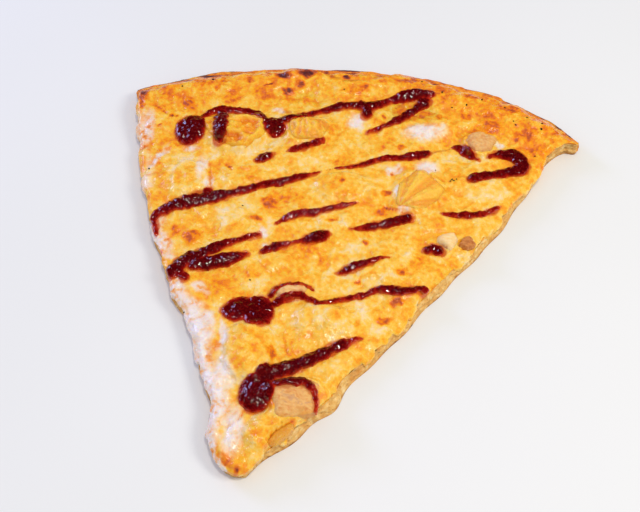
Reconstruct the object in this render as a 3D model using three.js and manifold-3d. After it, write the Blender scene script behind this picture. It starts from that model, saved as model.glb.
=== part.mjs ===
// A slice of thin-crust pizza with chicken, pineapple and a thick dark barbecue drizzle.
//
// Millimetres, +Z up. The slice lies flat on z = 0 with its point towards -Y and its browned rim
// towards +Y, and the origin is under the middle of its outline. Three layers lie on each other, as
// the cut sides show them: the baked dough, the melted cheese with the drizzle fused to it, and the
// pieces of topping, each seated in a pocket of the cheese.
import * as THREE from 'three';
import { mergeVertices } from 'three/addons/utils/BufferGeometryUtils.js';
import Module from 'manifold-3d';

// ---------------------------------------------------------------- driving dimensions
const PIZZA_RADIUS = 203; // a 16 inch pizza
const PIZZA_CENTRE = new THREE.Vector2(15.4, -94.4); // the cuts meet a little off the pizza's middle
const TIP_LEFT = new THREE.Vector2(-8.8, -103.6); // the blunt point of the slice
const TIP_RIGHT = new THREE.Vector2(-0.9, -105.4);
const LEFT_CORNER = new THREE.Vector2(-102.3, 71); // where the cuts reach the rim
const RIGHT_CORNER = new THREE.Vector2(104.5, 88);
const CORNER_PULL = 5.5; // the right end of the rim is rounded off by this much

const DOUGH_HEIGHT = 4.6;
const RIM_RISE = 3.4; // the rim stands this far above the dough
const RIM_RIDGE_INSET = 9; // from the outer edge to the top of the rim
const RIM_RIDGE_WIDTH = 9;
const RIM_UNDERCUT = 1.6; // how far the underside lifts at the outer edge
const CHEESE_HEIGHT = 2.3;
const CHEESE_REACH = 0.97; // how far the cheese covers the slice, as a share of its length
const CHEESE_EDGE = 0.9; // its thickness where it ends on the rim
const LAYER_GAP = 0.4; // between the dough and the cheese
const POCKET_GAP = 0.3; // round a piece of topping
const POCKET_FLOOR = 5.9; // the lowest point of a seated piece
const CROWN_DROP = 2.4; // from the middle of a piece's top to its edge
const DRIZZLE_RISE = 0.36; // the drizzle's height as a share of its width
const DRIZZLE_MOST = 2.2; // and at most
const DRIZZLE_SUNK = 0.8;
const FINENESS = 0.05; // detail smaller than this is left out
const TO_ORIGIN = [-1.1, -1.4]; // from the axes of the numbers here to the middle of the outline

// ---------------------------------------------------------------- the outline
const smooth = (a, b, t) => THREE.MathUtils.smoothstep((t - a) / (b - a), 0, 1);
const bell = (t, middle, width) => Math.exp(-(((t - middle) / width) ** 2));

// A cut edge is a straight line from point to rim, with the bulges and pinches that the wheel left.
// top is the outward distance of its upper edge, foot of its lower one, and lean goes from 0 to 1
// between the two.
function cutEdge(from, to, outward, top, foot) {
  const along = to.clone().sub(from).normalize();
  const normal = new THREE.Vector2(-along.y, along.x).multiplyScalar(outward);
  return (v, lean) => from.clone().lerp(to, v)
    .addScaledVector(normal, THREE.MathUtils.lerp(top(v), foot(v), lean));
}

const leftTop = (v) =>
  7.3 * bell(v, 0.6, 0.22) + 2.2 * bell(v, 0.82, 0.12) + 1.7 * bell(v, 0.42, 0.06) +
  3.4 * bell(v, 0.05, 0.045) + 0.4 * Math.sin(37 * v) + 0.3 * Math.sin(81 * v + 1);
const leftEdge = cutEdge(TIP_LEFT, LEFT_CORNER, 1, leftTop, (v) => leftTop(v) + 0.3);

const rightTop = (v) =>
  1.2 * bell(v, 0.16, 0.05) + 2.4 * bell(v, 0.36, 0.07) + 2.4 * bell(v, 0.6, 0.045) -
  2.2 * bell(v, 0.7, 0.03) - 3.9 * bell(v, 0.915, 0.045) + 3 * bell(v, 0.972, 0.018) +
  0.3 * Math.sin(97 * v);
const rightFoot = (v) =>
  4.5 * smooth(0, 0.13, v) * smooth(0.86, 0.66, v) + 2.2 * bell(v, 0.19, 0.03) +
  0.8 * bell(v, 0.37, 0.05) - 3.4 * bell(v, 0.915, 0.05) + 1.8 * bell(v, 0.975, 0.018) +
  0.4 * Math.sin(61 * v + 2);
const rightEdge = cutEdge(TIP_RIGHT, RIGHT_CORNER, -1, rightTop, rightFoot);

// The rim's arc stands this far out of the chord between the two corners, and is uneven.
const halfChord = LEFT_CORNER.distanceTo(RIGHT_CORNER) / 2;
const ARCH = PIZZA_RADIUS - Math.sqrt(PIZZA_RADIUS ** 2 - halfChord ** 2);
const rimWobble = (u) =>
  1.6 * bell(u, 0.155, 0.04) - 1.7 * bell(u, 0.4, 0.14) + 3.3 * bell(u, 0.8, 0.15) +
  0.45 * Math.sin(41 * u) + 0.3 * Math.sin(73 * u);

// The spot of the slice at u, 0 on the left cut to 1 on the right cut, and v, 0 at the point to 1 at
// the rim. Every row of constant v is an arch that steepens into the rim's arc. lean is 0 at the top
// of the cut sides and 1 at their foot.
function slicePoint(u, v, lean) {
  const a = leftEdge(v, lean);
  const b = rightEdge(v, lean);
  const along = b.clone().sub(a).normalize();
  const away = new THREE.Vector2(-along.y, along.x);
  const blunt = -1.3 * 4 * u * (1 - u) * smooth(0.06, 0, v);
  const pull = CORNER_PULL * smooth(0.93, 1, u) * smooth(0.96, 1, v);
  const arch = ARCH * v * v * 4 * u * (1 - u) + rimWobble(u) * v ** 6 + blunt - pull;
  return a.lerp(b, u).addScaledVector(away, arch);
}

// ---------------------------------------------------------------- the heights
const fromRim = (x, y) => PIZZA_RADIUS - Math.hypot(x - PIZZA_CENTRE.x, y - PIZZA_CENTRE.y);
const doughTop = (x, y) =>
  DOUGH_HEIGHT + RIM_RISE * bell(fromRim(x, y), RIM_RIDGE_INSET, RIM_RIDGE_WIDTH);
const doughBottom = (x, y) => RIM_UNDERCUT * smooth(7, 0, fromRim(x, y)) ** 2;

// Pieces of topping that the cheese covers whole: they show only as mounds.
const MOUNDS = [
  { at: [-63.5, 20], size: [10.5, 11.5], turn: 20, rise: 2.6 }, // by the left cut
  { at: [-11.6, -58], size: [8.5, 13], turn: 18, rise: 2.8 }, // in front of the middle
  { at: [3.5, -90], size: [7.5, 9], turn: -25, rise: 2.6 }, // at the point
  { at: [-17.5, -84], size: [3.6, 17], turn: 12, rise: 1.5 }, // a pale fold along the left cut
  { at: [41.5, 77.5], size: [7, 5.5], turn: 10, rise: 1.6 }, // a pale lump below the rim
  { at: [6, 33], size: [12, 8], turn: 15, rise: 1.2 },
  { at: [-34, 3], size: [11, 8], turn: 10, rise: 1.1 },
  { at: [11, -38], size: [11, 8], turn: 30, rise: 1.4 },
  { at: [58, 49], size: [11, 7], turn: 5, rise: 1.0 },
  { at: [-84, 52], size: [9, 12], turn: 20, rise: 1.2 },
];

// A point in a piece's own axes, in units of its half sizes.
function local(x, y, { at, size, turn }) {
  const angle = THREE.MathUtils.degToRad(-turn);
  const p = new THREE.Vector2(x - at[0], y - at[1]).rotateAround(new THREE.Vector2(), angle);
  return [p.x / size[0], p.y / size[1]];
}

const moundHeight = (x, y) => MOUNDS.reduce((sum, mound) => {
  const [a, b] = local(x, y, mound);
  return sum + mound.rise * Math.exp(-((a * a + b * b) ** 2));
}, 0);

// The slow waves of melted cheese.
const waves = (x, y) =>
  0.45 * Math.sin(x / 8.3 + 0.7) * Math.sin(y / 9.7 - 1.1) +
  0.3 * Math.sin((x + 2 * y) / 11.5) + 0.25 * Math.sin((2 * x - y) / 13.3 + 2);

function cheeseTop(x, y) {
  const d = fromRim(x, y);
  const thickness = THREE.MathUtils.lerp(CHEESE_EDGE, CHEESE_HEIGHT, smooth(5, 22, d));
  const relief = waves(x, y) * smooth(4, 24, d) + moundHeight(x, y);
  return doughTop(x, y) + LAYER_GAP + thickness + relief;
}

// ---------------------------------------------------------------- solids
const wasm = await Module();
wasm.setup();

function toSolid(geometry) {
  const bare = geometry.clone();
  bare.deleteAttribute('normal');
  bare.deleteAttribute('uv');
  const merged = mergeVertices(bare, 1e-4);
  const mesh = new wasm.Mesh({
    numProp: 3,
    vertProperties: Float32Array.from(merged.attributes.position.array),
    triVerts: Uint32Array.from(merged.index.array),
  });
  return new wasm.Manifold(mesh);
}

function toGeometry(solid) {
  const { vertProperties, triVerts } = solid.getMesh();
  const geometry = new THREE.BufferGeometry();
  geometry.setAttribute('position', new THREE.BufferAttribute(vertProperties, 3));
  geometry.setIndex(new THREE.BufferAttribute(triVerts, 1));
  geometry.computeVertexNormals();
  return geometry;
}

// Moves every vertex of a geometry to where `place` puts it.
function reshape(geometry, place) {
  const position = geometry.attributes.position;
  const from = new THREE.Vector3();
  for (let i = 0; i < position.count; i++) {
    from.fromBufferAttribute(position, i);
    const { x, y, z } = place(from);
    position.setXYZ(i, x, y, z);
  }
  return geometry;
}

// A layer of the slice: a box whose columns and rows crowd towards the cuts and the rim.
function layer([columns, rows, levels], reach, lean, bottom, top) {
  const box = new THREE.BoxGeometry(1, 1, 1, columns, rows, levels);
  return reshape(box, (from) => {
    const side = from.x + 0.5;
    const u = side - 0.07 * Math.sin(2 * Math.PI * side);
    const v = (1 - (0.5 - from.y) ** 1.4) * reach(u);
    const w = from.z + 0.5;
    const p = slicePoint(u, v, THREE.MathUtils.lerp(lean[0], lean[1], w));
    const low = bottom(p.x, p.y);
    const high = top(p.x, p.y, Math.min(side, 1 - side) * columns);
    return new THREE.Vector3(p.x, p.y, THREE.MathUtils.lerp(low, high, w));
  });
}

// The dough's cut sides lean out towards the board, more on the right.
const dough = () => layer([24, 28, 2], () => 1, [1, 0.4], doughBottom, doughTop);

const cheeseSlab = () => layer([34, 36, 2],
  (u) => CHEESE_REACH + 0.006 * Math.sin(23 * u) + 0.004 * Math.sin(51 * u + 2),
  [0.4, 0],
  (x, y) => doughTop(x, y) + LAYER_GAP,
  (x, y, columnsIn) => cheeseTop(x, y) - 0.7 * Math.max(0, 1 - columnsIn));

// ---------------------------------------------------------------- pieces of topping
// Each lies half sunk in the cheese. size is its half length and half width, top its height above the
// board, square 2 for an oval and 4 for a block, taper how much it widens along its length, if at all.
const PIECES = [
  { name: 'pineapple_left', at: [-48.2, 52.4], size: [9.6, 13.4], turn: -77, top: 12, square: 2.5,
    taper: -0.3 },
  { name: 'pineapple_middle', at: [-16.8, 61.8], size: [9, 6.6], turn: 13, top: 11.6, square: 3.6 },
  { name: 'pineapple_fan', at: [38.6, 36.4], size: [10.8, 9.2], turn: 62, top: 11, square: 2.4, taper: 0.3 },
  { name: 'chicken_rim', at: [61.4, 71], size: [6.8, 6], turn: 10, top: 11.4, square: 2.2 },
  { name: 'chicken_point', at: [10.4, -74.6], size: [8.8, 7.4], turn: 20, top: 12.8, square: 4 },
  { name: 'chicken_centre', at: [-2.8, -27.2], size: [6.6, 3.2], turn: 22, top: 10.6, square: 2.4 },
  { name: 'chicken_right', at: [55.8, 13.6], size: [4, 3.8], turn: 50, top: 10, square: 3, taper: -0.3 },
  { name: 'pineapple_cut', at: [8.7, -89], size: [6.3, 2.3], turn: 54, top: 8.4, square: 2.1 },
  { name: 'chicken_cut', at: [63.6, 14], size: [2.9, 3.6], turn: -28, top: 9.6, square: 2.6 },
];

// How far a piece's outline reaches at an angle, in units of its half sizes: a rounded block or oval
// with three shallow flats.
const outlineReach = (angle, square) =>
  (Math.abs(Math.cos(angle)) ** square + Math.abs(Math.sin(angle)) ** square) ** (-1 / square) *
  (1 + 0.04 * Math.sin(3 * angle + 1) + 0.03 * Math.sin(5 * angle));

const widening = ({ taper = 0 }, lengthwise) => 1 + taper * lengthwise;

// The top of a piece at a share of its outline: nearly flat, and rounded over at the edge.
const crown = (spec, share) => spec.top - CROWN_DROP * share ** 5;

// Turns a profile of [share of the outline, height] round the piece's outline. grow widens it.
function turned(spec, profile, grow) {
  const lathe = new THREE.LatheGeometry(profile.map(([r, z]) => new THREE.Vector2(r, z)), 18);
  return toSolid(reshape(lathe, (from) => {
    const angle = Math.atan2(from.x, from.z);
    const share = Math.hypot(from.x, from.z) * outlineReach(angle, spec.square);
    const lengthwise = share * Math.cos(angle);
    const x = lengthwise * (spec.size[0] + grow);
    const y = share * Math.sin(angle) * (spec.size[1] + grow) * widening(spec, lengthwise);
    const spot = new THREE.Vector2(x, y)
      .rotateAround(new THREE.Vector2(), THREE.MathUtils.degToRad(spec.turn));
    return new THREE.Vector3(spot.x + spec.at[0], spot.y + spec.at[1], from.y);
  }));
}

// The piece itself: upright sides with a low crowned top.
const piece = (spec) => turned(spec, [
  [0, POCKET_FLOOR], [0.97, POCKET_FLOOR],
  ...[1, 0.93, 0.8, 0.55, 0].map((share) => [share, crown(spec, share)]),
], 0);

// The upright column of space that a piece takes out of the cheese, or with a shrink, the column in
// which drizzle lies on the piece and not beside it.
const SKY = 30;
const column = (spec, floor, grow) =>
  turned(spec, [[0, floor], [1, floor], [1, SKY], [0, SKY]], grow);

// ---------------------------------------------------------------- the drizzle
// Each stroke is a route of [x, y, width]. It tapers to nothing where its end width is small.
const STROKES = {
  rim: [[-69, 52, 3], [-62, 64, 2.8], [-51, 67.6, 2.6], [-43, 68, 2.8], [-34, 62, 6], [-27, 66.5, 4],
    [-6, 80, 3.4], [8, 83.4, 5], [18, 91, 3], [28, 96, 4.8], [37, 96.6, 3]],
  rim_return: [[35, 95, 4.2], [26.5, 83.6, 3.8], [18, 73.6, 2.6], [9.6, 66.8, 1.8]],
  rim_drip: [[-59, 65, 3.6], [-57, 56.4, 5.4], [-54.8, 46.4, 5]],
  rim_bead: [[7.4, 83.6, 5.6], [8, 75.6, 4]],
  short_bead: [[-35.6, 39, 2.6], [-32, 42.4, 4], [-28.6, 45, 1.6]],
  short: [[-22.8, 47.6, 1.4], [-16.4, 52, 3.6], [-7.6, 59, 1.2]],
  left: [[-67, -8, 2.2], [-69, -1, 3.4], [-64, 4.8, 5], [-56, 10.6, 6.4], [-46, 15.6, 4.6],
    [-37, 20.6, 2.4], [-26, 28, 4.4], [-17, 33, 3.6], [-4, 40, 1]],
  middle: [[0, 42, 1.2], [10, 47, 2.6], [18.5, 53, 2.8], [30, 56.4, 3.2], [40.2, 61.8, 4.2]],
  right_turn: [[47.6, 66.8, 1.4], [52.4, 66.6, 3.4], [57.4, 64.6, 4.2], [65, 63.8, 2], [72, 67, 4.8],
    [79.6, 68, 6.8],
    [83, 61.6, 6], [75, 57.4, 4.4], [66, 52.4, 3.6], [59.4, 48.2, 3.2]],
  left_pool: [[-52.6, -28, 6], [-49, -19.6, 6.8], [-39, -11.4, 4.6], [-29, -4.2, 3], [-22, 0.8, 3.6]],
  left_low: [[-48, -23.4, 5], [-40, -19.4, 5.4], [-31, -15.4, 4.6], [-25, -11.4, 1.4]],
  middle_low: [[-18, 6.6, 1.2], [-11, 13.6, 3.6], [-3, 15.6, 4], [6, 21, 2.8], [14, 25.4, 1]],
  right_upper: [[13.6, 10, 1.2], [23, 14.4, 3.6], [31, 18.6, 4.2], [38.2, 23.4, 4.2]],
  right_edge: [[50.4, 27.2, 1.2], [59.4, 28, 2.9], [69, 32.4, 2.7], [74.4, 37, 1.4]],
  centre_dash: [[-20.2, -9.2, 2.4], [-14, -5, 3.8], [-6.6, -1, 1.8], [0, 2.6, 5], [5.4, 7, 2.2]],
  right_bead: [[46, 6.6, 2.6], [50.2, 8.4, 4.2], [54.4, 7.4, 3.8]],
  centre_low: [[13.2, -12.6, 1.6], [20.2, -7.6, 4.4], [33.6, -0.4, 1]],
  front: [[-12, -36, 4], [-4, -31, 3.2], [5, -30.4, 3.4], [11, -29.6, 3.8], [21, -24, 2.8],
    [28.6, -18.2, 2.8], [39, -16.2, 4.2], [51.6, -12.6, 2.6]],
  front_upper: [[-11, -31, 2.8], [-8.6, -25.4, 2.4], [-3, -22.8, 2], [4, -22.6, 1.4]],
  point: [[30.8, -40.9, 1.4], [23, -46.8, 3.2], [14.6, -54.4, 4.8], [5, -61.6, 5.6], [-2, -66.6, 5.4]],
  point_upper: [[0, -70.6, 3.2], [4.4, -68, 3.2], [12, -66.6, 3.2], [16.4, -70.6, 2.6], [19.4, -77, 2.8]],
};

// Wide pools: middle, half sizes, turn in degrees, height above the cheese.
const POOLS = [
  { at: [-69.4, 50.4], size: [6.2, 7.4], turn: 10, rise: 2.2 },
  { at: [-31.6, 61.6], size: [5, 3.8], turn: 40, rise: 1.9 },
  { at: [-20.4, -39.6], size: [8.2, 4.8], turn: 31, rise: 1.9 },
  { at: [-13.6, -39.2], size: [6, 6.4], turn: 20, rise: 2.1 },
  { at: [-4.6, -74.2], size: [6.8, 8.6], turn: 10, rise: 2.4 },
];

const STROKE_STEPS_MM = 3.4; // between the rings of a stroke

// The height of whatever the drizzle lies on: the cheese, or a piece where one stands out of it.
function surface(x, y) {
  const crowns = PIECES.map((spec) => {
    const [a, b] = local(x, y, spec);
    const across = b / widening(spec, a);
    const share = Math.hypot(a, across) / outlineReach(Math.atan2(across, a), spec.square);
    return share < 1.3 ? crown(spec, share) : 0;
  });
  return Math.max(cheeseTop(x, y), ...crowns);
}

// A stroke is a cylinder bent along its route, with a domed top and a shallow sunk underside.
function stroke(route) {
  const line = new THREE.CatmullRomCurve3(
    route.map(([x, y, width]) => new THREE.Vector3(x, y, width)), false, 'catmullrom', 0.5);
  const steps = Math.max(4, Math.round(line.getLength() / STROKE_STEPS_MM));
  const tube = new THREE.CylinderGeometry(1, 1, 1, 8, steps);
  return toSolid(reshape(tube, (from) => {
    const t = from.y + 0.5;
    const { x, y, z: width } = line.getPoint(t);
    const heading = line.getTangent(t);
    const side = new THREE.Vector2(heading.y, -heading.x).normalize();
    const end = Math.min(1, 0.35 + 6 * Math.min(t, 1 - t)); // rounds both ends
    const across = from.x * width * end * 0.5;
    const rise = Math.min(DRIZZLE_RISE * width, DRIZZLE_MOST) * end;
    const lift = from.z > 0 ? from.z * rise : from.z * DRIZZLE_SUNK;
    return new THREE.Vector3(x + side.x * across, y + side.y * across, surface(x, y) + lift);
  }));
}

function pool({ at, size, turn, rise }) {
  const ball = new THREE.SphereGeometry(1, 14, 8);
  return toSolid(reshape(ball, (from) => {
    const spot = new THREE.Vector2(from.x * size[0], from.y * size[1])
      .rotateAround(new THREE.Vector2(), THREE.MathUtils.degToRad(turn));
    const [x, y] = [at[0] + spot.x, at[1] + spot.y];
    const lift = from.z > 0 ? from.z * rise : from.z * DRIZZLE_SUNK;
    return new THREE.Vector3(x, y, cheeseTop(x, y) + lift);
  }));
}

// ---------------------------------------------------------------- putting it together
const drizzle = [...Object.values(STROKES).map(stroke), ...POOLS.map(pool)]
  .reduce((all, one) => all.add(one));
const pockets = PIECES.map((spec) => column(spec, POCKET_FLOOR - POCKET_GAP, POCKET_GAP))
  .reduce((all, one) => all.add(one));

// Keeps a solid's largest body, without the loose slivers that a cut leaves, and drops the vertices
// that its flat parts don't need.
function tidied(solid) {
  const [largest] = solid.decompose().sort((a, b) => b.volume() - a.volume());
  return largest.simplify(FINENESS);
}

function node(name, solid, color, roughness) {
  const material = new THREE.MeshStandardMaterial({ color, roughness, metalness: 0 });
  const mesh = new THREE.Mesh(toGeometry(tidied(solid)).translate(...TO_ORIGIN, 0), material);
  mesh.name = name;
  return mesh;
}

const crust = () => node('crust', toSolid(dough()), 0xd9a860, 0.85);
const cheese = () =>
  node('cheese', toSolid(cheeseSlab()).add(drizzle).subtract(pockets), 0xf6b94a, 0.45);

// A piece of topping, with the drizzle that crosses it.
function topping(spec) {
  const onTop = drizzle.intersect(column(spec, POCKET_FLOOR + 1, 0));
  const color = spec.name.startsWith('pineapple') ? 0xf7ab3a : 0xf0d0a0;
  return node(spec.name, piece(spec).add(onTop), color, 0.5);
}

const toppings = new THREE.Group();
toppings.name = 'toppings';
toppings.add(...PIECES.map(topping));

const slice = new THREE.Group();
slice.name = 'pizza_slice';
slice.add(crust(), cheese(), toppings);

export default slice;
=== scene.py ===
# %% [markdown]
# # A slice of chicken pizza
# A thin baked dough carries a layer of melted, browned cheese, pieces of pineapple and chicken, and a
# glossy dark barbecue drizzle laid on in runs. Each of them is made here as a surface worked out with
# numpy: a function of two parameters, computed as whole arrays and put into a mesh.
# The script works in millimetres, in the plane the slice lies in, and turns to metres in one place.

# %% Imports and the fixed model
import math

import bpy
import numpy as np
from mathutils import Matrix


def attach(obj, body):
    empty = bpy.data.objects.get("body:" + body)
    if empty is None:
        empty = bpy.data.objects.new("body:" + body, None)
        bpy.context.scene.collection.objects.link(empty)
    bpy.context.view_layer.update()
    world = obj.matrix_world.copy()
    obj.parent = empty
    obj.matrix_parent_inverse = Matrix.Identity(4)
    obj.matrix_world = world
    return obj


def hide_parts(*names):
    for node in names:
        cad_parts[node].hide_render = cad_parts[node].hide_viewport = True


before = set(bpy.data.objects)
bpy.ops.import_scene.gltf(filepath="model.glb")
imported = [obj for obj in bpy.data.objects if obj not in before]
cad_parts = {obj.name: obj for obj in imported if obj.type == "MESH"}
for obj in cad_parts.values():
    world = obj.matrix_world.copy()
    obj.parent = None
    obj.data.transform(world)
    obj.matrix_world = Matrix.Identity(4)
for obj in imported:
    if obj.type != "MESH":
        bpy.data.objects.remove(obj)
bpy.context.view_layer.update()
print("solids:", sorted(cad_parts))

# %% [markdown]
# ## The sizes of the slice
# The same driving sizes as the solids have, so every surface here lies where its solid lies. The slice
# points towards -Y and its rim is towards +Y.

# %% Driving sizes, in millimetres
TO_ORIGIN = np.array([-1.1, -1.4, 0.0])  # from the axes of the numbers here to the part's own
PIZZA_RADIUS = 203.0  # a 16 inch pizza
PIZZA_CENTRE = (15.4, -94.4)
TIP_LEFT = np.array([-8.8, -103.6])
TIP_RIGHT = np.array([-0.9, -105.4])
LEFT_CORNER = np.array([-102.3, 71.0])
RIGHT_CORNER = np.array([104.5, 88.0])
CORNER_PULL = 5.5
DOUGH_HEIGHT = 4.6
RIM_RISE = 3.4
RIM_RIDGE_INSET = 9.0
RIM_RIDGE_WIDTH = 9.0
RIM_UNDERCUT = 1.6
CHEESE_HEIGHT = 2.3
CHEESE_REACH = 0.987
CHEESE_EDGE = 0.9
LAYER_GAP = 0.4
CROWN_DROP = 2.4
POCKET_FLOOR = 5.9
PHOTO_TURN = 13.0  # the camera looks across the slice at this angle, in degrees

# %% [markdown]
# ## Two little building blocks
# Nearly every form in food is a soft step or a soft bump. `smooth` climbs from 0 to 1 without a corner,
# and `bell` is a rounded hill. Products and sums of these give bulges, pinches and ridges.


# %% Soft step and soft bump
def smooth(a, b, t):
    """0 before a, 1 after b, and three t squared minus two t cubed between them."""
    s = np.clip((np.asarray(t, float) - a) / (b - a), 0, 1)
    return s * s * (3 - 2 * s)


def bell(t, middle, width):
    """e to the minus square of the distance from the middle, in widths."""
    return np.exp(-(((t - middle) / width) ** 2))


def lerp(a, b, t):
    """The value t of the way from a to b."""
    return a + (b - a) * t


# %% [markdown]
# ## Unevenness that comes out the same each time
# Real dough and cheese are lumpy at every size. A lattice of repeatable random numbers, blended softly
# between its points, gives lumps of one size, and a few such layers, each half as big and half as strong,
# give the natural look. Cells, the distance to the nearest of many scattered points, give pores.


# %% Noise on a plane
def lattice(ix, iy, seed):
    """A number from 0 to 1 for each whole-number point: its coordinates multiplied and mixed bit by bit."""
    mixed = (ix.astype(np.int64) * 73856093) ^ (iy.astype(np.int64) * 19349663) ^ (seed * 83492791)
    mixed = ((mixed ^ (mixed >> 13)) * 1274126177) & 0x7FFFFFFF
    return ((mixed ^ (mixed >> 15)) % 65521) / 65521


def lumps(x, y, seed=0):
    """Soft lumps from -1 to 1: the four lattice numbers round a point, blended by smooth."""
    ix, iy = np.floor(x), np.floor(y)
    fx, fy = smooth(0, 1, x - ix), smooth(0, 1, y - iy)
    low = lerp(lattice(ix, iy, seed), lattice(ix + 1, iy, seed), fx)
    high = lerp(lattice(ix, iy + 1, seed), lattice(ix + 1, iy + 1, seed), fx)
    return 2 * lerp(low, high, fy) - 1


def rough(x, y, size, seed=0, layers=3):
    """Layers of lumps, each turned by 37 degrees, half as large and half as strong as the last."""
    x, y = np.asarray(x, float) / size, np.asarray(y, float) / size
    c, s = math.cos(0.65), math.sin(0.65)
    total, strength = 0.0, 0.5
    for layer in range(layers):
        total = total + strength * lumps(x + 9.7 * layer, y, seed + layer)
        x, y = 2.03 * (c * x - s * y), 2.03 * (s * x + c * y)
        strength *= 0.5
    return total


def cells(x, y, size, seed=0):
    """Distance to the nearest of one scattered point per square, in units of the square's size."""
    x, y = np.asarray(x, float) / size, np.asarray(y, float) / size
    ix, iy = np.floor(x), np.floor(y)
    nearest = np.full(x.shape, 9.0)
    for dx in (-1, 0, 1):
        for dy in (-1, 0, 1):
            px = ix + dx + lattice(ix + dx, iy + dy, seed)
            py = iy + dy + lattice(ix + dx, iy + dy, seed + 1)
            nearest = np.minimum(nearest, np.hypot(px - x, py - y))
    return nearest


# %% [markdown]
# ## The outline
# A roller cutter leaves two nearly straight sides, with small bulges and pinches, and the rim is an arc of
# the whole pizza. Each side is a straight line plus bells, and a spot of the slice is found by going a
# share `u` from the left side to the right one, at a share `v` of the way from point to rim.


# %% The cut sides and the rim
def left_top(v):
    """Outward distance of the left side's upper edge: four bells and two fine waves."""
    hills = 7.3 * bell(v, 0.6, 0.22) + 2.2 * bell(v, 0.82, 0.12) + 1.7 * bell(v, 0.42, 0.06)
    return hills + 3.4 * bell(v, 0.05, 0.045) + 0.4 * np.sin(37 * v) + 0.3 * np.sin(81 * v + 1)


def right_top(v):
    """Outward distance of the right side's upper edge: bulges, two pinches and a fine wave."""
    hills = 1.2 * bell(v, 0.16, 0.05) + 2.4 * bell(v, 0.36, 0.07) + 2.4 * bell(v, 0.6, 0.045)
    corner = 3 * bell(v, 0.972, 0.018) - 3.9 * bell(v, 0.915, 0.045)
    return hills - 2.2 * bell(v, 0.7, 0.03) + corner + 0.3 * np.sin(97 * v)


def right_foot(v):
    """Outward distance of the right side's foot, which flares out under the cheese."""
    flare = 4.5 * smooth(0, 0.13, v) * smooth(0.86, 0.66, v) + 2.2 * bell(v, 0.19, 0.03)
    corner = 1.8 * bell(v, 0.975, 0.018) - 3.4 * bell(v, 0.915, 0.05)
    return flare + 0.8 * bell(v, 0.37, 0.05) + corner + 0.4 * np.sin(61 * v + 2)


def side_axes(start, end, outward):
    """The unit vector along a side, and the one across it that points out of the slice."""
    along = (end - start) / np.linalg.norm(end - start)
    return along, outward * np.array([-along[1], along[0]])


LEFT_ALONG, LEFT_OUT = side_axes(TIP_LEFT, LEFT_CORNER, 1)
_, RIGHT_OUT = side_axes(TIP_RIGHT, RIGHT_CORNER, -1)
HALF_CHORD = np.linalg.norm(RIGHT_CORNER - LEFT_CORNER) / 2
ARCH = PIZZA_RADIUS - math.sqrt(PIZZA_RADIUS**2 - HALF_CHORD**2)


def rim_wobble(u):
    """The rim's unevenness: three bells and two waves."""
    hills = 1.6 * bell(u, 0.155, 0.04) - 1.7 * bell(u, 0.4, 0.14) + 3.3 * bell(u, 0.8, 0.15)
    return hills + 0.45 * np.sin(41 * u) + 0.3 * np.sin(73 * u)


def slice_point(u, v, lean):
    """A point between the two sides, moved away from the tip by an arch that grows with v squared.

    lean is 0 at the top of the cut sides and 1 at their foot."""
    u, v = np.broadcast_arrays(np.asarray(u, float), np.asarray(v, float))
    left_reach = left_top(v) + 0.3 * lean
    right_reach = lerp(right_top(v), right_foot(v), lean)
    a = lerp(TIP_LEFT, LEFT_CORNER, v[..., None]) + LEFT_OUT * left_reach[..., None]
    b = lerp(TIP_RIGHT, RIGHT_CORNER, v[..., None]) + RIGHT_OUT * right_reach[..., None]
    along = (b - a) / np.linalg.norm(b - a, axis=-1, keepdims=True)
    away = np.stack([-along[..., 1], along[..., 0]], -1)
    belly = 4 * u * (1 - u)
    blunt = -1.3 * belly * smooth(0.06, 0, v)
    pull = CORNER_PULL * smooth(0.93, 1, u) * smooth(0.96, 1, v)
    arch = ARCH * v * v * belly + rim_wobble(u) * v**6 + blunt - pull
    return lerp(a, b, u[..., None]) + away * arch[..., None]


print("the rim stands", round(ARCH, 1), "mm out of the chord between its corners")

# %% [markdown]
# ## Filling the outline with an even grid
# A grid from point to rim would crowd at the point. A Coons patch fills four curves evenly instead: it
# blends each pair of opposite curves and takes away what the four corners count twice. Its corners are
# the point, the left corner, the middle of the rim and the right corner.


# %% How far each layer goes
def full_reach(u):
    """The dough goes all the way to the rim."""
    return np.ones_like(u)


def cheese_reach(u):
    """The cheese stops a little before the rim, along a wavy line."""
    return CHEESE_REACH + 0.006 * np.sin(23 * u) + 0.004 * np.sin(51 * u + 2) + 0.003 * np.sin(117 * u)


# %% The outline as four curves
def running_length(curve):
    """How far along a curve each of its points lies: the running total of its steps."""
    return np.concatenate([[0], np.cumsum(np.linalg.norm(np.diff(curve, axis=0), axis=1))])


def resample(curve, share):
    """Points of a curve at shares of its length."""
    along = running_length(curve)
    return np.stack([np.interp(share * along[-1], along, curve[:, axis]) for axis in (0, 1)], -1)


RIM_STEPS, SIDE_STEPS = 300, 1500


def outline_curves(lean, reach):
    """The outline in four: point to left corner, point to right corner, and each of them to mid rim."""
    half = np.linspace(0, 0.5, RIM_STEPS)
    side = np.linspace(0, 1, SIDE_STEPS)
    ends = reach(np.array([0.0, 1.0]))
    left_point = slice_point(0.5 - half[:-1], 0, lean)
    right_point = slice_point(0.5 + half[:-1], 0, lean)
    left = np.concatenate([left_point, slice_point(0, side * ends[0], lean)])
    right = np.concatenate([right_point, slice_point(1, side * ends[1], lean)])
    return left, right, slice_point(half, reach(half), lean), slice_point(1 - half, reach(1 - half), lean)


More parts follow.
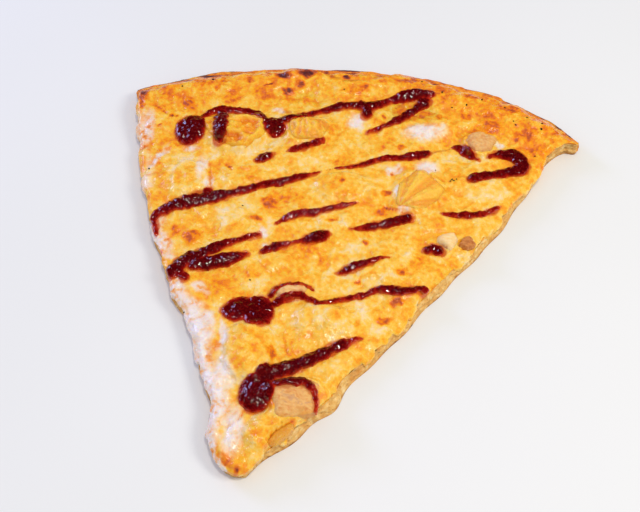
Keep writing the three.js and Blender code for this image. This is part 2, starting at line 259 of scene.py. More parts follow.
# %% The patch between them
def patch(p, q, lean, reach):
    """(1-q) left(p) + q rim_right(p) + (1-p) right(q) + p rim_left(q), less the blend of the corners."""
    left, right, rim_left, rim_right = outline_curves(lean, reach)
    left_side, rim_right_side = resample(left, p), resample(rim_right, p)
    right_side, rim_left_side = resample(right, q), resample(rim_left, q)
    p, q = p[..., None], q[..., None]
    sides = (1 - q) * left_side + q * rim_right_side + (1 - p) * right_side + p * rim_left_side
    corners = (1 - p) * (1 - q) * left[0] + p * (1 - q) * left[-1] + (1 - p) * q * right[-1]
    return sides - corners - p * q * rim_left[-1]


# %% Grids, rings and their faces
def grid_shares(rows, columns):
    """Even shares p and q on a grid of rows by columns."""
    return np.meshgrid(np.linspace(0, 1, rows), np.linspace(0, 1, columns), indexing="ij")


def grid_faces(rows, columns, start=0, upwards=True):
    """One quad for each square of a grid whose vertices are numbered row by row from start."""
    number = start + np.arange(rows * columns).reshape(rows, columns)
    corners = [number[:-1, :-1], number[:-1, 1:], number[1:, 1:], number[1:, :-1]]
    faces = np.stack([c.ravel() for c in corners], 1)
    return faces if upwards else faces[:, ::-1]


def loop_of(rows, columns):
    """The grid's edge vertices, anticlockwise as seen from above."""
    number = np.arange(rows * columns).reshape(rows, columns)
    return np.concatenate([number[0, :], number[1:, -1], number[-1, -2::-1], number[-2:0:-1, 0]])


def band_faces(upper, lower):
    """Quads between two closed rings of as many vertices, facing outwards when upper is above."""
    return np.stack([upper, lower, np.roll(lower, -1), np.roll(upper, -1)], 1)


def as_points(x, y, z):
    """Three arrays as one list of points."""
    return np.column_stack([x.ravel(), y.ravel(), z.ravel()])


def bands_below(loop, start, count):
    """Bands from a loop down through rings that are numbered from start on, and the last of the rings."""
    rings = [loop, *(start + number * len(loop) + np.arange(len(loop)) for number in range(count))]
    return [band_faces(upper, lower) for upper, lower in zip(rings, rings[1:])], rings[-1]


def outward_of(ring):
    """The unit vectors across a closed anticlockwise ring, pointing out of it."""
    along = np.roll(ring, -2, axis=0) - np.roll(ring, 2, axis=0)
    along /= np.linalg.norm(along, axis=1, keepdims=True) + 1e-9
    return np.stack([along[:, 1], -along[:, 0]], 1)


# %% [markdown]
# ## From arrays to a mesh
# One helper takes every piece the same way: points in millimetres, faces as arrays of vertex numbers, and
# marks, which are one number for each vertex that the finishes read, such as how browned it is there.


# %% Mesh maker
def new_piece(name, points, face_sets, marks, finish, nodes=()):
    """A smooth-shaded mesh object at the origin that rides on the slice's one body."""
    mesh = bpy.data.meshes.new(name)
    corners = np.concatenate([faces.ravel() for faces in face_sets])
    sizes = np.concatenate([np.full(len(faces), faces.shape[1]) for faces in face_sets])
    mesh.vertices.add(len(points))
    mesh.vertices.foreach_set("co", ((points + TO_ORIGIN) / 1000).astype(np.float32).ravel())
    mesh.loops.add(len(corners))
    mesh.loops.foreach_set("vertex_index", corners.astype(np.int32))
    mesh.polygons.add(len(sizes))
    starts = np.concatenate([[0], np.cumsum(sizes)[:-1]])
    mesh.polygons.foreach_set("loop_start", starts.astype(np.int32))
    mesh.update(calc_edges=True)
    mesh.validate()
    mesh.polygons.foreach_set("use_smooth", np.ones(len(mesh.polygons), bool))
    set_marks(mesh, marks)
    mesh.materials.append(finish)
    piece = bpy.data.objects.new(name, mesh)
    bpy.context.scene.collection.objects.link(piece)
    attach(piece, "root")
    if nodes:
        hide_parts(*nodes)
    triangles = sum(len(polygon.vertices) - 2 for polygon in mesh.polygons)
    print(name, "has", len(points), "points and", triangles, "triangles")
    return piece


def set_marks(mesh, marks):
    """Stores each mark as a named number on every vertex."""
    for key, values in marks.items():
        layer = mesh.attributes.new(key, "FLOAT", "POINT")
        layer.data.foreach_set("value", np.asarray(values, np.float32))


# %% [markdown]
# ## How high everything stands
# The dough is flat with a low ridge along the rim. The cheese follows it, thinner at the rim, with slow
# waves and a mound wherever a piece of topping lies under it.


# %% Heights of dough and cheese
def from_rim(x, y):
    """How far in from the pizza's outer circle a point lies."""
    return PIZZA_RADIUS - np.hypot(x - PIZZA_CENTRE[0], y - PIZZA_CENTRE[1])


def dough_top(x, y):
    """The flat height, plus a ridge whose profile is a bell, a fixed way in from the rim."""
    return DOUGH_HEIGHT + RIM_RISE * bell(from_rim(x, y), RIM_RIDGE_INSET, RIM_RIDGE_WIDTH)


def dough_bottom(x, y):
    """0, but for a soft rise under the outermost millimetres of the rim."""
    return RIM_UNDERCUT * smooth(7, 0, from_rim(x, y)) ** 2


def in_axes(x, y, at, size, turn):
    """A point in a turned patch's own axes, in units of its half sizes."""
    angle = math.radians(turn)
    dx, dy = x - at[0], y - at[1]
    a = (dx * math.cos(angle) + dy * math.sin(angle)) / size[0]
    b = (dy * math.cos(angle) - dx * math.sin(angle)) / size[1]
    return a, b


def off_axes(a, b, at, turn):
    """The way back: a point in millimetres along a patch's own axes, in those of the slice."""
    angle = math.radians(turn)
    c, s = math.cos(angle), math.sin(angle)
    return at[0] + a * c - b * s, at[1] + a * s + b * c


# %% Mounds, waves and the cheese's slow form
# place, half sizes, turn, rise
MOUNDS = [
    ((-63.5, 20), (10.5, 11.5), 20, 2.6),
    ((-11.6, -58), (8.5, 13), 18, 2.8),
    ((3.5, -90), (7.5, 9), -25, 2.6),
    ((-17.5, -84), (3.6, 17), 12, 1.5),
    ((41.5, 77.5), (7, 5.5), 10, 1.6),
    ((6, 33), (12, 8), 15, 1.2),
    ((-34, 3), (11, 8), 10, 1.1),
    ((11, -38), (11, 8), 30, 1.4),
    ((58, 49), (11, 7), 5, 1.0),
    ((-84, 52), (9, 12), 20, 1.2),
]


def mound_height(x, y):
    """Each mound is its rise times e to the minus of the distance, in half sizes, to the fourth power."""
    total = 0.0
    for at, size, turn, rise in MOUNDS:
        a, b = in_axes(x, y, at, size, turn)
        total = total + rise * np.exp(-((a * a + b * b) ** 2))
    return total


def waves(x, y):
    """A chequer of slow hills, the product of two sines, and two slanting waves."""
    slow = 0.45 * np.sin(x / 8.3 + 0.7) * np.sin(y / 9.7 - 1.1)
    return slow + 0.3 * np.sin((x + 2 * y) / 11.5) + 0.25 * np.sin((2 * x - y) / 13.3 + 2)


def cheese_top(x, y):
    """Dough, gap, the cheese's thickness, waves that fade at the rim, and mounds."""
    d = from_rim(x, y)
    thickness = lerp(CHEESE_EDGE, CHEESE_HEIGHT, smooth(5, 22, d))
    relief = waves(x, y) * smooth(4, 24, d) + mound_height(x, y)
    return dough_top(x, y) + LAYER_GAP + thickness + relief


print(len(MOUNDS), "mounds; in its middle the cheese stands", round(float(cheese_top(0, 0)), 1), "mm high")

# %% [markdown]
# ## The pieces that stand out of the cheese
# Each is a rounded block or oval, with the place and size that its solid has: half length and half width,
# turn, height of its top, how square it is, and how much it widens along its length. The last two numbers
# say how pale and how brown the piece is.

# %% Sizes of the toppings
PIECES = {
    "pineapple_left": dict(at=(-48.2, 52.4), size=(9.6, 13.4), turn=-77, top=12, square=2.5, taper=-0.3,
                          pale=0.0, brown=0.0),
    "pineapple_middle": dict(at=(-16.8, 61.8), size=(9, 6.6), turn=13, top=11.6, square=3.6, taper=0,
                            pale=0.15, brown=0.0),
    "pineapple_fan": dict(at=(38.6, 36.4), size=(10.8, 9.2), turn=62, top=11, square=2.4, taper=0.3,
                         pale=0.2, brown=0.0),
    "pineapple_cut": dict(at=(8.7, -89), size=(6.3, 2.3), turn=54, top=8.4, square=2.1, taper=0,
                         pale=0.1, brown=0.6),
    "chicken_rim": dict(at=(61.4, 71), size=(6.8, 6), turn=10, top=11.4, square=2.2, taper=0,
                       pale=0.2, brown=0.25),
    "chicken_point": dict(at=(10.4, -74.6), size=(8.8, 7.4), turn=20, top=12.8, square=4, taper=0,
                         pale=0.0, brown=0.15),
    "chicken_centre": dict(at=(-2.8, -27.2), size=(6.6, 3.2), turn=22, top=10.6, square=2.4, taper=0,
                          pale=0.3, brown=0.1),
    "chicken_right": dict(at=(55.8, 13.6), size=(4, 3.8), turn=50, top=10, square=3, taper=-0.3,
                         pale=0.8, brown=0.0),
    "chicken_cut": dict(at=(63.6, 14), size=(2.9, 3.6), turn=-28, top=9.6, square=2.6, taper=0,
                       pale=0.0, brown=0.85),
}


def outline_reach(angle, square):
    """How far a piece's outline reaches: a superellipse with three and five shallow flats."""
    block = (np.abs(np.cos(angle)) ** square + np.abs(np.sin(angle)) ** square) ** (-1 / square)
    return block * (1 + 0.04 * np.sin(3 * angle + 1) + 0.03 * np.sin(5 * angle))


def crown(spec, share):
    """Nearly flat in the middle, and rounded over by the fifth power of the share towards the edge."""
    return spec["top"] - CROWN_DROP * share**5


def share_in(spec, x, y):
    """Where a point lies in a piece: 0 in its middle, 1 on its outline."""
    a, b = in_axes(x, y, spec["at"], spec["size"], spec["turn"])
    across = b / np.clip(1 + spec["taper"] * a, 0.3, None)
    return np.hypot(a, across) / outline_reach(np.arctan2(across, a), spec["square"])


# %% [markdown]
# ## The cheese's own relief
# Melted cheese is never flat: it has soft lumps, blisters where steam lifted it, steps where it hangs over
# a covered piece, and it climbs a little up everything that stands in it. All of it is added up here.

# %% Blisters and covered pieces
# place, half sizes, turn, rise
BLISTERS = [
    ((65.0, 83.0), (3.8, 3.6), 13, 0.8),
    ((-74.6, 65.2), (2.8, 4.2), 38, 0.7),
    ((-50.8, -7.9), (3.6, 4.2), 13, 0.5),
    ((-32, 94.5), (5, 3), 20, 0.9),
    ((-56, 88), (4.5, 2.6), 20, 1.2),
    ((73.5, 97), (4, 2.4), -10, 1.0),
    ((84, 88), (4, 3), -10, 0.7),
    ((10, 98), (5, 3), 5, 0.6),
    ((-88, 72), (4, 3.4), 25, 0.9),
    ((46, 96), (5, 3), -5, 0.7),
    ((31, 88.5), (4, 2.4), 0, 0.5),
    ((-66, 79), (5, 3), 25, 0.5),
    ((21.8, 5.2), (1.8, 1.8), 0, 0.35),
    ((24.8, 22.8), (2.4, 2.2), 0, 0.4),
    ((-26.9, 6.6), (2.6, 1.8), 0, 0.35),
    ((63.6, 9.8), (2.6, 3.4), 10, 1.0),
    ((-8.8, -92), (2.4, 8), 12, 0.9),
]
# place, half sizes, turn, rise: nearly block-shaped, so that the cheese over them has a steep edge
COVERED = [
    ((-12.4, -57.5), (9.6, 12.5), 8, 1.5),
    ((-61, 22), (7.5, 9.5), 16, 1.1),
    ((-75.5, 24.5), (5.2, 8.5), -14, 1.0),
    ((3.2, -90), (7.5, 7.4), -30, 1.0),
    ((26, -8), (9, 5), 18, 0.6),
    ((42, -14.5), (11, 5.5), 8, 0.8),
    ((-33, -13), (9, 7), 20, 0.7),
    ((12, -36), (11, 5), 22, 0.7),
    ((6, 33), (12, 7), 14, 0.6),
    ((48, 22), (6, 5), 20, 0.6),
    ((-38, 30), (10, 5), 16, 0.6),
    ((68, 44), (9, 4.5), 25, 0.6),
    ((-50, 3), (9, 5), 14, 0.5),
    ((21, -36), (8, 6), 20, 0.6),
    ((-2, 92), (9, 4), 10, 0.6),
    ((-76, 66), (6, 8), 30, 0.5),
]


# %% Their heights
def block_radius(x, y, at, size, turn):
    """1 on a block's outline: the cube root of both distances' cubes, in half sizes, and some lumps."""
    a, b = in_axes(x, y, at, size, turn)
    return (np.abs(a) ** 3 + np.abs(b) ** 3) ** (1 / 3) + 0.16 * rough(x, y, 5, 31)


def block_height(x, y, blocks):
    """Each block is its rise times a soft step down across its outline."""
    return sum(rise * smooth(1.14, 0.86, block_radius(x, y, *place)) for *place, rise in blocks)


def block_edge(x, y, blocks):
    """1 along the outline of each block and 0 away from it: a bell of the radius. The strongest counts.
    The cheese is lightened there as a painted highlight along the edge of each covered piece.
    """
    strongest = np.zeros_like(x)
    for *place, rise in blocks:
        strongest = np.maximum(strongest, min(1, rise) * bell(block_radius(x, y, *place), 1.0, 0.2))
    return strongest


def bump_height(x, y, bumps):
    """Each blister is its rise times 1 less 5/6 of the squared distance in half sizes, not below 0."""
    total = 0.0
    for at, size, turn, rise in bumps:
        a, b = in_axes(x, y, at, size, turn)
        total = total + rise * np.clip(1 - (a * a + b * b) / 1.2, 0, None)
    return total


# %% The whole surface of the cheese
CLIMB_OVER_EDGE = 0.35  # the cheese climbs this far over a piece's edge
CLIMB_REACH = 1.55  # and starts to rise at this share of its outline
FOLD_DEPTH = 0.6


def cheese_surface(x, y):
    """Slow form plus lumps of three sizes, blisters, covered blocks, and the climb up each piece."""
    inner = smooth(6, 26, from_rim(x, y))
    z = cheese_top(x, y) + block_height(x, y, COVERED) + bump_height(x, y, BLISTERS)
    z = z + rough(x, y, 11, 3) * lerp(0.6, 1.1, inner) + rough(x, y, 3.4, 5, 2) * 0.65
    z = z + 0.5 * smooth(0.1, 0.5, rough(x, y, 5.5, 8)) * lerp(0.6, 1, inner)
    z = z - FOLD_DEPTH * fold_depth(x, y)
    for spec in PIECES.values():
        share = share_in(spec, x, y)
        rim = crown(spec, 1.0) + CLIMB_OVER_EDGE + 1.1 * rough(x, y, 4, 33)
        z = z + np.clip(rim - z, 0, None) * smooth(CLIMB_REACH, 1.0, share) ** 2
        z = np.where(share < 1.0, np.minimum(z, rim) - 3 * smooth(0.95, 0.7, share), z)
    return z


# %% [markdown]
# ## The drizzle's routes
# The drizzle was poured in swings across the slice, so it is a set of runs, each with its own width from
# end to end, and a few pools where the bottle paused. Each point is x, y and width.

# %% Runs
STROKES = {
    "rim": [(-69, 52, 3), (-62, 63.4, 3.6), (-51, 66.6, 3.8), (-43, 67, 4), (-35, 61, 4.6),
            (-27, 66.4, 5.4), (-17, 73, 3.4), (-6, 79.4, 4.4), (8, 83, 5), (18, 89.6, 3.8),
            (27.6, 94.4, 6.4), (36.6, 95.8, 3.8)],
    "rim_return": [(34.4, 93, 5.6), (26.4, 83.2, 5.2), (18, 73.8, 3.2), (9.6, 66.8, 2)],
    "rim_drip": [(-58.6, 65, 4.2), (-56.4, 56, 6.4), (-53.6, 43.4, 6.8)],
    "rim_bead": [(7, 83, 6.6), (7.4, 74.8, 5.2)],
    "short_bead": [(-35.8, 38.6, 3.4), (-32.2, 42, 5), (-28.6, 44.8, 2)],
    "short": [(-22.8, 47.4, 1.8), (-16.2, 51.2, 4.2), (-7.4, 57.4, 1.6)],
    "left": [(-65.6, -11.2, 2), (-67.4, -7, 2.6), (-69.4, -1, 3.6), (-64, 4.4, 5.4), (-56, 10, 7),
             (-46, 15, 6), (-37, 20.2, 3.6), (-26.6, 27.2, 3.8), (-17, 32.6, 4.2), (-5.4, 39.4, 1.2)],
    "left_bump": [(-51, 14, 5), (-50.8, 18.8, 3)],
    "middle": [(0, 42, 1.2), (10, 46.6, 2.8), (18.5, 52.2, 3), (30, 55.2, 3.6), (40.4, 60.6, 4.8)],
    "right_start": [(48.6, 67.2, 1.6), (52.6, 67.2, 3.6), (57.6, 63.6, 3.2), (62.4, 61.4, 1.2)],
    "right_turn": [(65.6, 63.8, 1.6), (71.6, 66.6, 4.8), (78, 67.2, 6.6), (81.4, 61, 6.8), (75, 57.2, 5),
                   (66, 52, 4.2), (58.8, 47.6, 4.4)],
    "left_pool": [(-53, -31, 5), (-50.4, -22, 7), (-39, -12, 4.6), (-29, -5, 3), (-22.6, -0.4, 3)],
    "left_lobe": [(-49, -27, 4), (-46.4, -31.6, 4)],
    "left_low": [(-48, -23.6, 5.4), (-40, -20.2, 6.4), (-31, -16, 5.4), (-24.6, -11.8, 2)],
    "middle_low": [(-18.4, 6, 1.4), (-11, 12.6, 3.8), (-3, 16, 3.8), (6, 21, 3), (14, 25.2, 1)],
    "right_upper": [(13.6, 10.4, 1.2), (22.6, 14.4, 4.2), (31, 18.6, 4.8), (38.8, 23, 5)],
    "right_edge": [(50.4, 27.2, 1.4), (59.4, 28, 3.3), (69, 32.6, 3.2), (75, 37.4, 1.6)],
    "centre_dash": [(-20.6, -9.8, 3.2), (-14, -5.2, 4.6), (-6.6, -1, 2.2), (0.4, 2.4, 6), (6, 6.8, 3)],
    "right_bead": [(46, 6.4, 3.2), (50.2, 8.2, 4.8), (55, 6.8, 4.6)],
    "centre_low": [(13, -12.8, 2), (20.4, -8.2, 4.8), (33.4, -0.6, 1)],
    "front": [(-12, -35, 4.4), (-7.8, -33.2, 3.4), (-1.3, -29.6, 2.8), (2.5, -28.2, 2.8), (6.8, -29.2, 3),
              (11, -29.6, 3), (18.6, -25.2, 2.8), (26, -21.4, 2.8), (31, -18, 3.2), (40.4, -16.6, 4.6),
              (52, -12.8, 3)],
    "front_upper": [(-11, -31.4, 3), (-8.6, -26, 2.8), (-3, -23.2, 2.6), (4, -23, 2), (6.4, -24, 1.4)],
    "point": [(30, -41.4, 1.2), (22.6, -46.6, 4.2), (14.4, -53.8, 5.4), (5, -61, 6.4), (-2, -66, 7),
              (-6, -69.6, 5)],
    "point_upper": [(0.4, -71.4, 4), (4.6, -70, 5), (12, -68.2, 5), (17, -71, 3), (19.2, -75.6, 2),
                    (20, -79.4, 1.8)],
}

# %% Pools and smears
# place, half sizes, turn, rise
POOLS = [
    ((-69.2, 49.4), (6.9, 9.2), 10, 2.4),
    ((-32.2, 59.8), (5.2, 5.8), 20, 2.0),
    ((-20.6, -38.8), (8.4, 6), 31, 2.0),
    ((-13.6, -38.8), (6.6, 8.2), 20, 2.2),
    ((-4.4, -75.2), (7, 7.8), 10, 2.6),
]
# thin smears that only stain the cheese
SMEARS = [
    [(-31, 70.5, 2.6), (-27, 72.5, 1.8)],
    [(-8, 38.5, 1), (3, 43.5, 0.8)],
    [(-26, -11, 1), (-19, -8, 0.8)],
    [(-9, -2, 1.2), (-2, 1, 1.2)],
    [(15, -34.6, 1.0), (19, -31.6, 1.3), (24.4, -30, 0.7)],
    [(24, 80, 2.6), (31, 86, 3)],
    [(40, 60, 1.6), (49, 67, 1)],
    [(19.4, -77, 2), (20.6, -82, 2.4)],
    [(-71, 43, 2), (-66, 42, 1.6)],
]


# %% Curves through the points, and the distance to them
CURVE_STEPS = 60  # points on each stretch of a curve, before it is divided evenly
ROUTE_STEP = 1.2  # between the points that distances are taken to


def run_through(route, step):
    """A Catmull-Rom curve through the route's points: on each stretch, a cubic whose slopes at both
    ends are half the way between the neighbouring points. Returns points about one step apart, with
    the width, how far along each is, and how full the run is there: it falls to 0 at both ends like a
    quarter circle."""
    points = np.array(route, float)
    padded = np.concatenate([[2 * points[0] - points[1]], points, [2 * points[-1] - points[-2]]])
    slopes = (padded[2:] - padded[:-2]) / 2
    t = np.linspace(0, 1, CURVE_STEPS)[:-1, None]
    from_start, leaving = 2 * t**3 - 3 * t**2 + 1, t**3 - 2 * t**2 + t
    to_end, arriving = 3 * t**2 - 2 * t**3, t**3 - t**2
    stretches = [
        from_start * points[i] + leaving * slopes[i] + to_end * points[i + 1] + arriving * slopes[i + 1]
        for i in range(len(points) - 1)
    ]
    curve = np.concatenate([*stretches, points[-1:]])
    lengths = running_length(curve[:, :2])
    at = np.linspace(0, lengths[-1], max(6, int(lengths[-1] / step)))
    line = np.stack([np.interp(at, lengths, curve[:, axis]) for axis in range(3)], -1)
    from_end = np.minimum(at, at[-1] - at) / np.maximum(line[:, 2] * 0.6, 1.2)
    full = np.sqrt(np.clip(1 - (1 - np.clip(from_end, 0.02, 1)) ** 2, 0, 1))
    return line, at, full


def distance_to(x, y, routes, pools=()):
    """The distance to the nearest route or pool, counted from its edge and below 0 inside it."""
    flat_x, flat_y = x.ravel(), y.ravel()
    nearest = np.full(flat_x.shape, 99.0)
    for route in routes:
        line, _, full = run_through(route, ROUTE_STEP)
        for (px, py, width), share in zip(line, full):
            nearest = np.minimum(nearest, np.hypot(flat_x - px, flat_y - py) - share * width / 2)
    for at, size, turn, _ in pools:
        a, b = in_axes(flat_x, flat_y, at, size, turn)
        nearest = np.minimum(nearest, (np.hypot(a, b) - 1) * min(size))
    return nearest.reshape(x.shape)


print("the drizzle has", len(STROKES), "runs and", len(POOLS), "pools, and", len(SMEARS), "smears")

# %% [markdown]
# ## Folds in the cheese
# Where the cheese sagged over a covered piece, it folded. A fold is a thin groove along a line, and its
# depth is darkened in the cheese's colour as painted shade. The routes are given as the drizzle's are.

# %% Folds
FOLDS = [
    [(-7.4, -83.3, 0.9), (-8.9, -87.5, 1.0), (-11.4, -91.1, 0.6)],
    [(-48.2, 33.8, 0.7), (-44.4, 30.7, 0.7)],
    [(-55.3, 33.3, 0.6), (-52.7, 24.8, 1.0), (-50.6, 18.2, 0.8)],
    [(33.2, 43.1, 0.6), (33.6, 36.8, 1.0)],
    [(32.4, 33, 1.6), (32.3, 26.8, 1.8)],
    [(38.4, -3.8, 0.8), (41.5, -4.9, 0.8)],
    [(58.4, -1.9, 0.7), (57.7, -5.6, 0.9), (55.5, -7.7, 0.9), (52.6, -9.9, 0.7)],
    [(-1.3, -45.9, 0.6), (2.4, -54.4, 0.8)],
    [(39.4, 46.6, 0.7), (43.4, 42.4, 0.9), (45.7, 37.4, 0.9), (49.2, 30.8, 0.7)],
    [(6.4, -92.4, 1.2), (11, -85.4, 1.4), (12.6, -83, 1.0)],
    [(-90, 60, 0.6), (-80, 55.4, 0.6)],
    [(24, 26.4, 0.6), (34, 24.4, 0.6)],
]


def fold_depth(x, y):
    """1 along the middle of a fold, falling to 0 within a millimetre of its edge."""
    return smooth(0.9, -0.4, distance_to(x, y, FOLDS) + 0.5 * rough(x, y, 2, 63))


# %% [markdown]
# ## Where the cheese is browned, pale or charred
# A pizza's look is mostly in these spots. Noise alone would spread them evenly, and no real pizza is even,
# so each was placed one by one and is written as a place, two half sizes and a turn. Every spot becomes a
# soft-edged, ragged patch in a mark that the finish reads.

# %% Spots, as x, y, half length, half width and, where it isn't the camera's, turn
BROWN = [
    (-50.9, -8.3, 3.4, 3.8), (-74.6, 65.2, 2.3, 3.8, 38), (-23.9, 17.3, 3.3, 3.0), (-26.9, 6.6, 2.3, 1.5),
    (5.2, 13.7, 2.5, 1.3, 21), (21.8, 5.2, 1.4, 1.5), (23.0, -14.9, 1.4, 1.5), (24.8, 22.8, 2.1, 2.0),
    (25.1, 33.1, 1.9, 1.3), (39.0, -6.8, 1.9, 1.5, -17), (-61.2, -20.0, 1.0, 2.6),
    (36.1, -31.1, 3.1, 1.8, 21), (64.9, 82.4, 3.6, 3.6), (82.5, 80.6, 1.6, 2.4), (52.9, 86.1, 2.3, 2.0),
    (76.9, 77.4, 1.2, 1.3), (73.3, 96.3, 1.9, 1.5, -7), (68.5, 100.3, 1.0, 1.0), (54.2, 99.0, 3.3, 1.3, 5),
    (21.5, 101.9, 2.3, 1.5), (-71.9, 78.3, 1.0, 1.3), (-64.7, 78.4, 1.2, 1.3), (-51.0, 86.3, 1.4, 1.5),
    (-58.7, -6.6, 2.3, 2.3), (-3.4, -55.9, 1.7, 2.8), (40.4, -21.5, 2.7, 1.5), (60.6, 73.6, 3.1, 2.0, -12),
    (40.7, 83.8, 1.2, 1.5), (26.6, 61.1, 2.1, 1.5), (5.6, 35.3, 1.4, 1.3), (25.7, 43.9, 0.8, 1.0),
    (-8.8, -103.4, 1.8, 1.2, -40), (73.5, 94.2, 2.0, 1.6, -32), (15.7, 78.5, 1.0, 1.3),
    (-89.5, 72.7, 1.4, 1.3), (-95.8, 59.2, 1.2, 2.3),
]

# %% Charred spots, mostly along the rim
CHARRED = [
    (-97.6, 66.6, 2.0, 4.4), (-68.3, 83.0, 1.2, 1.0), (-35.5, 92.7, 3.0, 2.4), (-26.3, 97.2, 4.8, 2.6),
    (-26.9, 89.5, 2.4, 2.0), (-31.6, 84.0, 2.2, 1.9), (-7.1, 101.6, 4.1, 0.8), (-6.4, 97.6, 1.2, 1.0),
    (-70.9, 85.9, 4.5, 1.0, 23), (-80.1, 80.2, 2.9, 0.8, 25), (-26.5, 100.3, 5.4, 0.8),
    (34.4, 104.9, 1.2, 0.8, -2), (71.2, 103.0, 1.4, 1.0, -12), (100.2, 85.7, 1.9, 0.8, -32),
    (-80.7, 56.1, 1.0, 1.0), (-78.2, 56.3, 0.8, 1.0), (-84.3, 48.9, 1.2, 0.5, 48),
    (-41.4, 85.3, 1.9, 0.5, 33), (-46.0, 32.9, 1.2, 0.5, -17), (-3.4, -106.6, 0.5, 0.9),
]

# %% Cream-coloured spots
CREAM = [
    (-34.9, 47.5, 10.7, 5.6, 25), (-55.7, 39.6, 2.9, 3.0), (-33.4, 69.0, 3.3, 1.5, 23),
    (-10.2, 44.6, 4.5, 3.8), (4.8, 70.7, 4.1, 3.8), (-21.0, 3.7, 1.9, 6.1), (-40.3, 1.5, 3.1, 3.0),
    (-55.0, 23.4, 1.9, 5.6), (36.0, 70.8, 7.0, 3.3, 21), (40.9, 77.7, 1.9, 1.8), (70.3, 42.9, 7.0, 3.6, 23),
    (61.9, 60.0, 7.4, 1.5, 19), (23.4, 48.9, 2.9, 2.0), (29.6, 30.1, 1.7, 5.1, 1), (-31.7, -40.4, 2.7, 3.0),
    (-27.8, -49.2, 2.1, 2.0), (-34.5, -55.3, 2.9, 5.1), (22.8, -38.2, 3.3, 2.0), (10.2, -11.6, 1.9, 2.0),
    (24.3, -15.1, 1.7, 1.5), (-18.5, -25.0, 5.4, 2.8, 23), (12.0, -33.4, 3.5, 3.3), (10.2, 10.9, 2.3, 1.5),
    (12.2, 6.8, 2.1, 2.0), (40.3, 3.6, 1.9, 1.3), (21.7, -12.6, 6.2, 2.0, 23), (26.6, -26.6, 4.5, 3.0, 23),
    (-7.5, 7.9, 3.7, 2.0), (17.8, 52.3, 4.5, 2.3), (53.4, 62.3, 5.2, 1.8), (-1.9, 4.8, 2.9, 2.0),
    (-22.5, 35.7, 3.7, 2.3), (-37.5, 7.2, 4.5, 2.3), (18.4, -21.0, 3.7, 1.8), (35.2, -36.8, 2.9, 2.0),
    (17.7, -45.6, 3.7, 2.3), (64.0, 9.6, 2.6, 3.4, 10), (51.0, 2.3, 2.2, 1.4), (56.0, 12.4, 3.0, 3.0),
    (-8.6, -91.0, 2.6, 7.0, 12), (-66.0, 33.0, 3.0, 3.6), (36.0, 73.0, 6.0, 3.0, 16),
    (-20.4, -70.6, 3.4, 8.0, 14), (-35.4, 9.0, 8.0, 4.0, 14), (16.0, 0.6, 5.0, 3.0),
]

# %% Deeply toasted spots
DEEP = [
    (-55.8, 74.7, 5.4, 3.0), (-42.7, 78.9, 4.1, 3.0), (-75.8, 41.9, 6.2, 3.0), (-74.6, 18.3, 2.3, 3.3),
    (1.6, 48.5, 5.4, 3.0), (20.0, 59.6, 2.9, 2.0), (22.3, 87.8, 3.1, 1.8), (29.1, 80.2, 3.3, 1.5),
    (-31.2, -29.9, 4.5, 5.1), (-24.0, -31.3, 5.0, 3.0), (-13.7, -65.7, 3.7, 2.3), (40.3, -16.0, 7.4, 3.6),
    (-18.7, -17.8, 3.3, 3.0), (5.2, -53.2, 2.1, 2.0), (3.8, -80.5, 2.5, 1.5), (-11.6, -58.0, 2.1, 2.5),
    (-2.2, -5.0, 6.2, 3.0), (8.9, -6.7, 6.2, 2.3), (-39.0, -13.5, 5.4, 2.5), (-15.6, 22.5, 6.2, 2.5),
    (-34.9, 23.9, 3.7, 3.6), (10.6, 25.7, 5.4, 3.0), (40.7, 29.8, 4.1, 4.1), (47.9, 0.2, 5.0, 2.5),
    (79.4, 71.4, 4.1, 3.6), (47.6, 70.4, 3.7, 2.5), (-24.9, 79.6, 8.3, 2.3), (1.2, 92.4, 6.2, 2.0),
    (-82.2, 67.8, 5.4, 3.0), (13.5, -27.2, 5.0, 2.3), (0.5, -25.2, 4.5, 2.0), (-80.1, 34.6, 1.9, 3.6),
    (-75.1, 8.8, 1.4, 2.5), (-66.0, -1.1, 1.4, 1.5), (-12.4, -99.6, 1.7, 4.1), (-28.7, -61.9, 1.7, 2.5),
    (-19.0, -71.5, 1.2, 2.0), (-48.1, -25.1, 2.1, 1.8), (-89.5, 51.5, 1.7, 2.0), (-38.8, -39.6, 4.0, 2.4),
    (-26.4, -60.0, 3.4, 2.2, 20), (-60.0, -11.0, 2.6, 3.0), (-57.0, -3.0, 3.4, 1.8),
    (-86.0, 42.0, 4.0, 7.0, 10), (-79.0, 27.0, 2.4, 4.0, 10), (-9.4, -103.2, 4.4, 2.6, -40),
    (-33.6, -56.0, 2.4, 1.6), (1.6, -91.2, 2.0, 1.8), (82.0, 78.0, 8.0, 4.0, -30),
    (62.0, 88.0, 8.0, 3.0, -14), (60.0, 80.0, 4.0, 4.0),
]

# %% Milky spots, where the cheese stayed white
MILKY = [
    (35.8, 72.4, 8.5, 5.0, 16), (-58.0, 29.0, 2.4, 6.5, 4), (-52.1, 21.5, 2.0, 3.0), (2.9, 72.5, 3.2, 4.2),
    (-33.5, 71.3, 2.6, 1.8), (68.7, 72.4, 1.9, 1.9), (26.0, 47.2, 3.2, 3.0), (40.1, 51.6, 4.5, 3.4),
    (30.5, 32.3, 1.5, 5.0, 4), (33.9, 25.7, 3.4, 1.9), (-22.3, 0.4, 1.9, 3.2), (-19.0, -7.0, 2.4, 1.6),
    (-9.0, -92.6, 3.6, 9.4, 12), (-18.6, -74.0, 4.2, 7.0, 12), (-24.5, -52.0, 1.6, 7.0, 16),
    (-62.0, -16.0, 2.4, 4.0, 20), (-33.0, -46.0, 3.0, 4.0), (-40.4, -33.0, 3.4, 2.4),
    (-66.4, 39.6, 3.4, 2.4), (-78.6, 30.0, 1.8, 7.0, -12), (-89.0, 47.0, 3.0, 9.0, 6),
    (-20.4, -70.6, 3.4, 8.0, 14),
]

print("spots:", len(BROWN), "brown,", len(CHARRED), "charred,", len(CREAM), "cream,", len(DEEP), "deep")


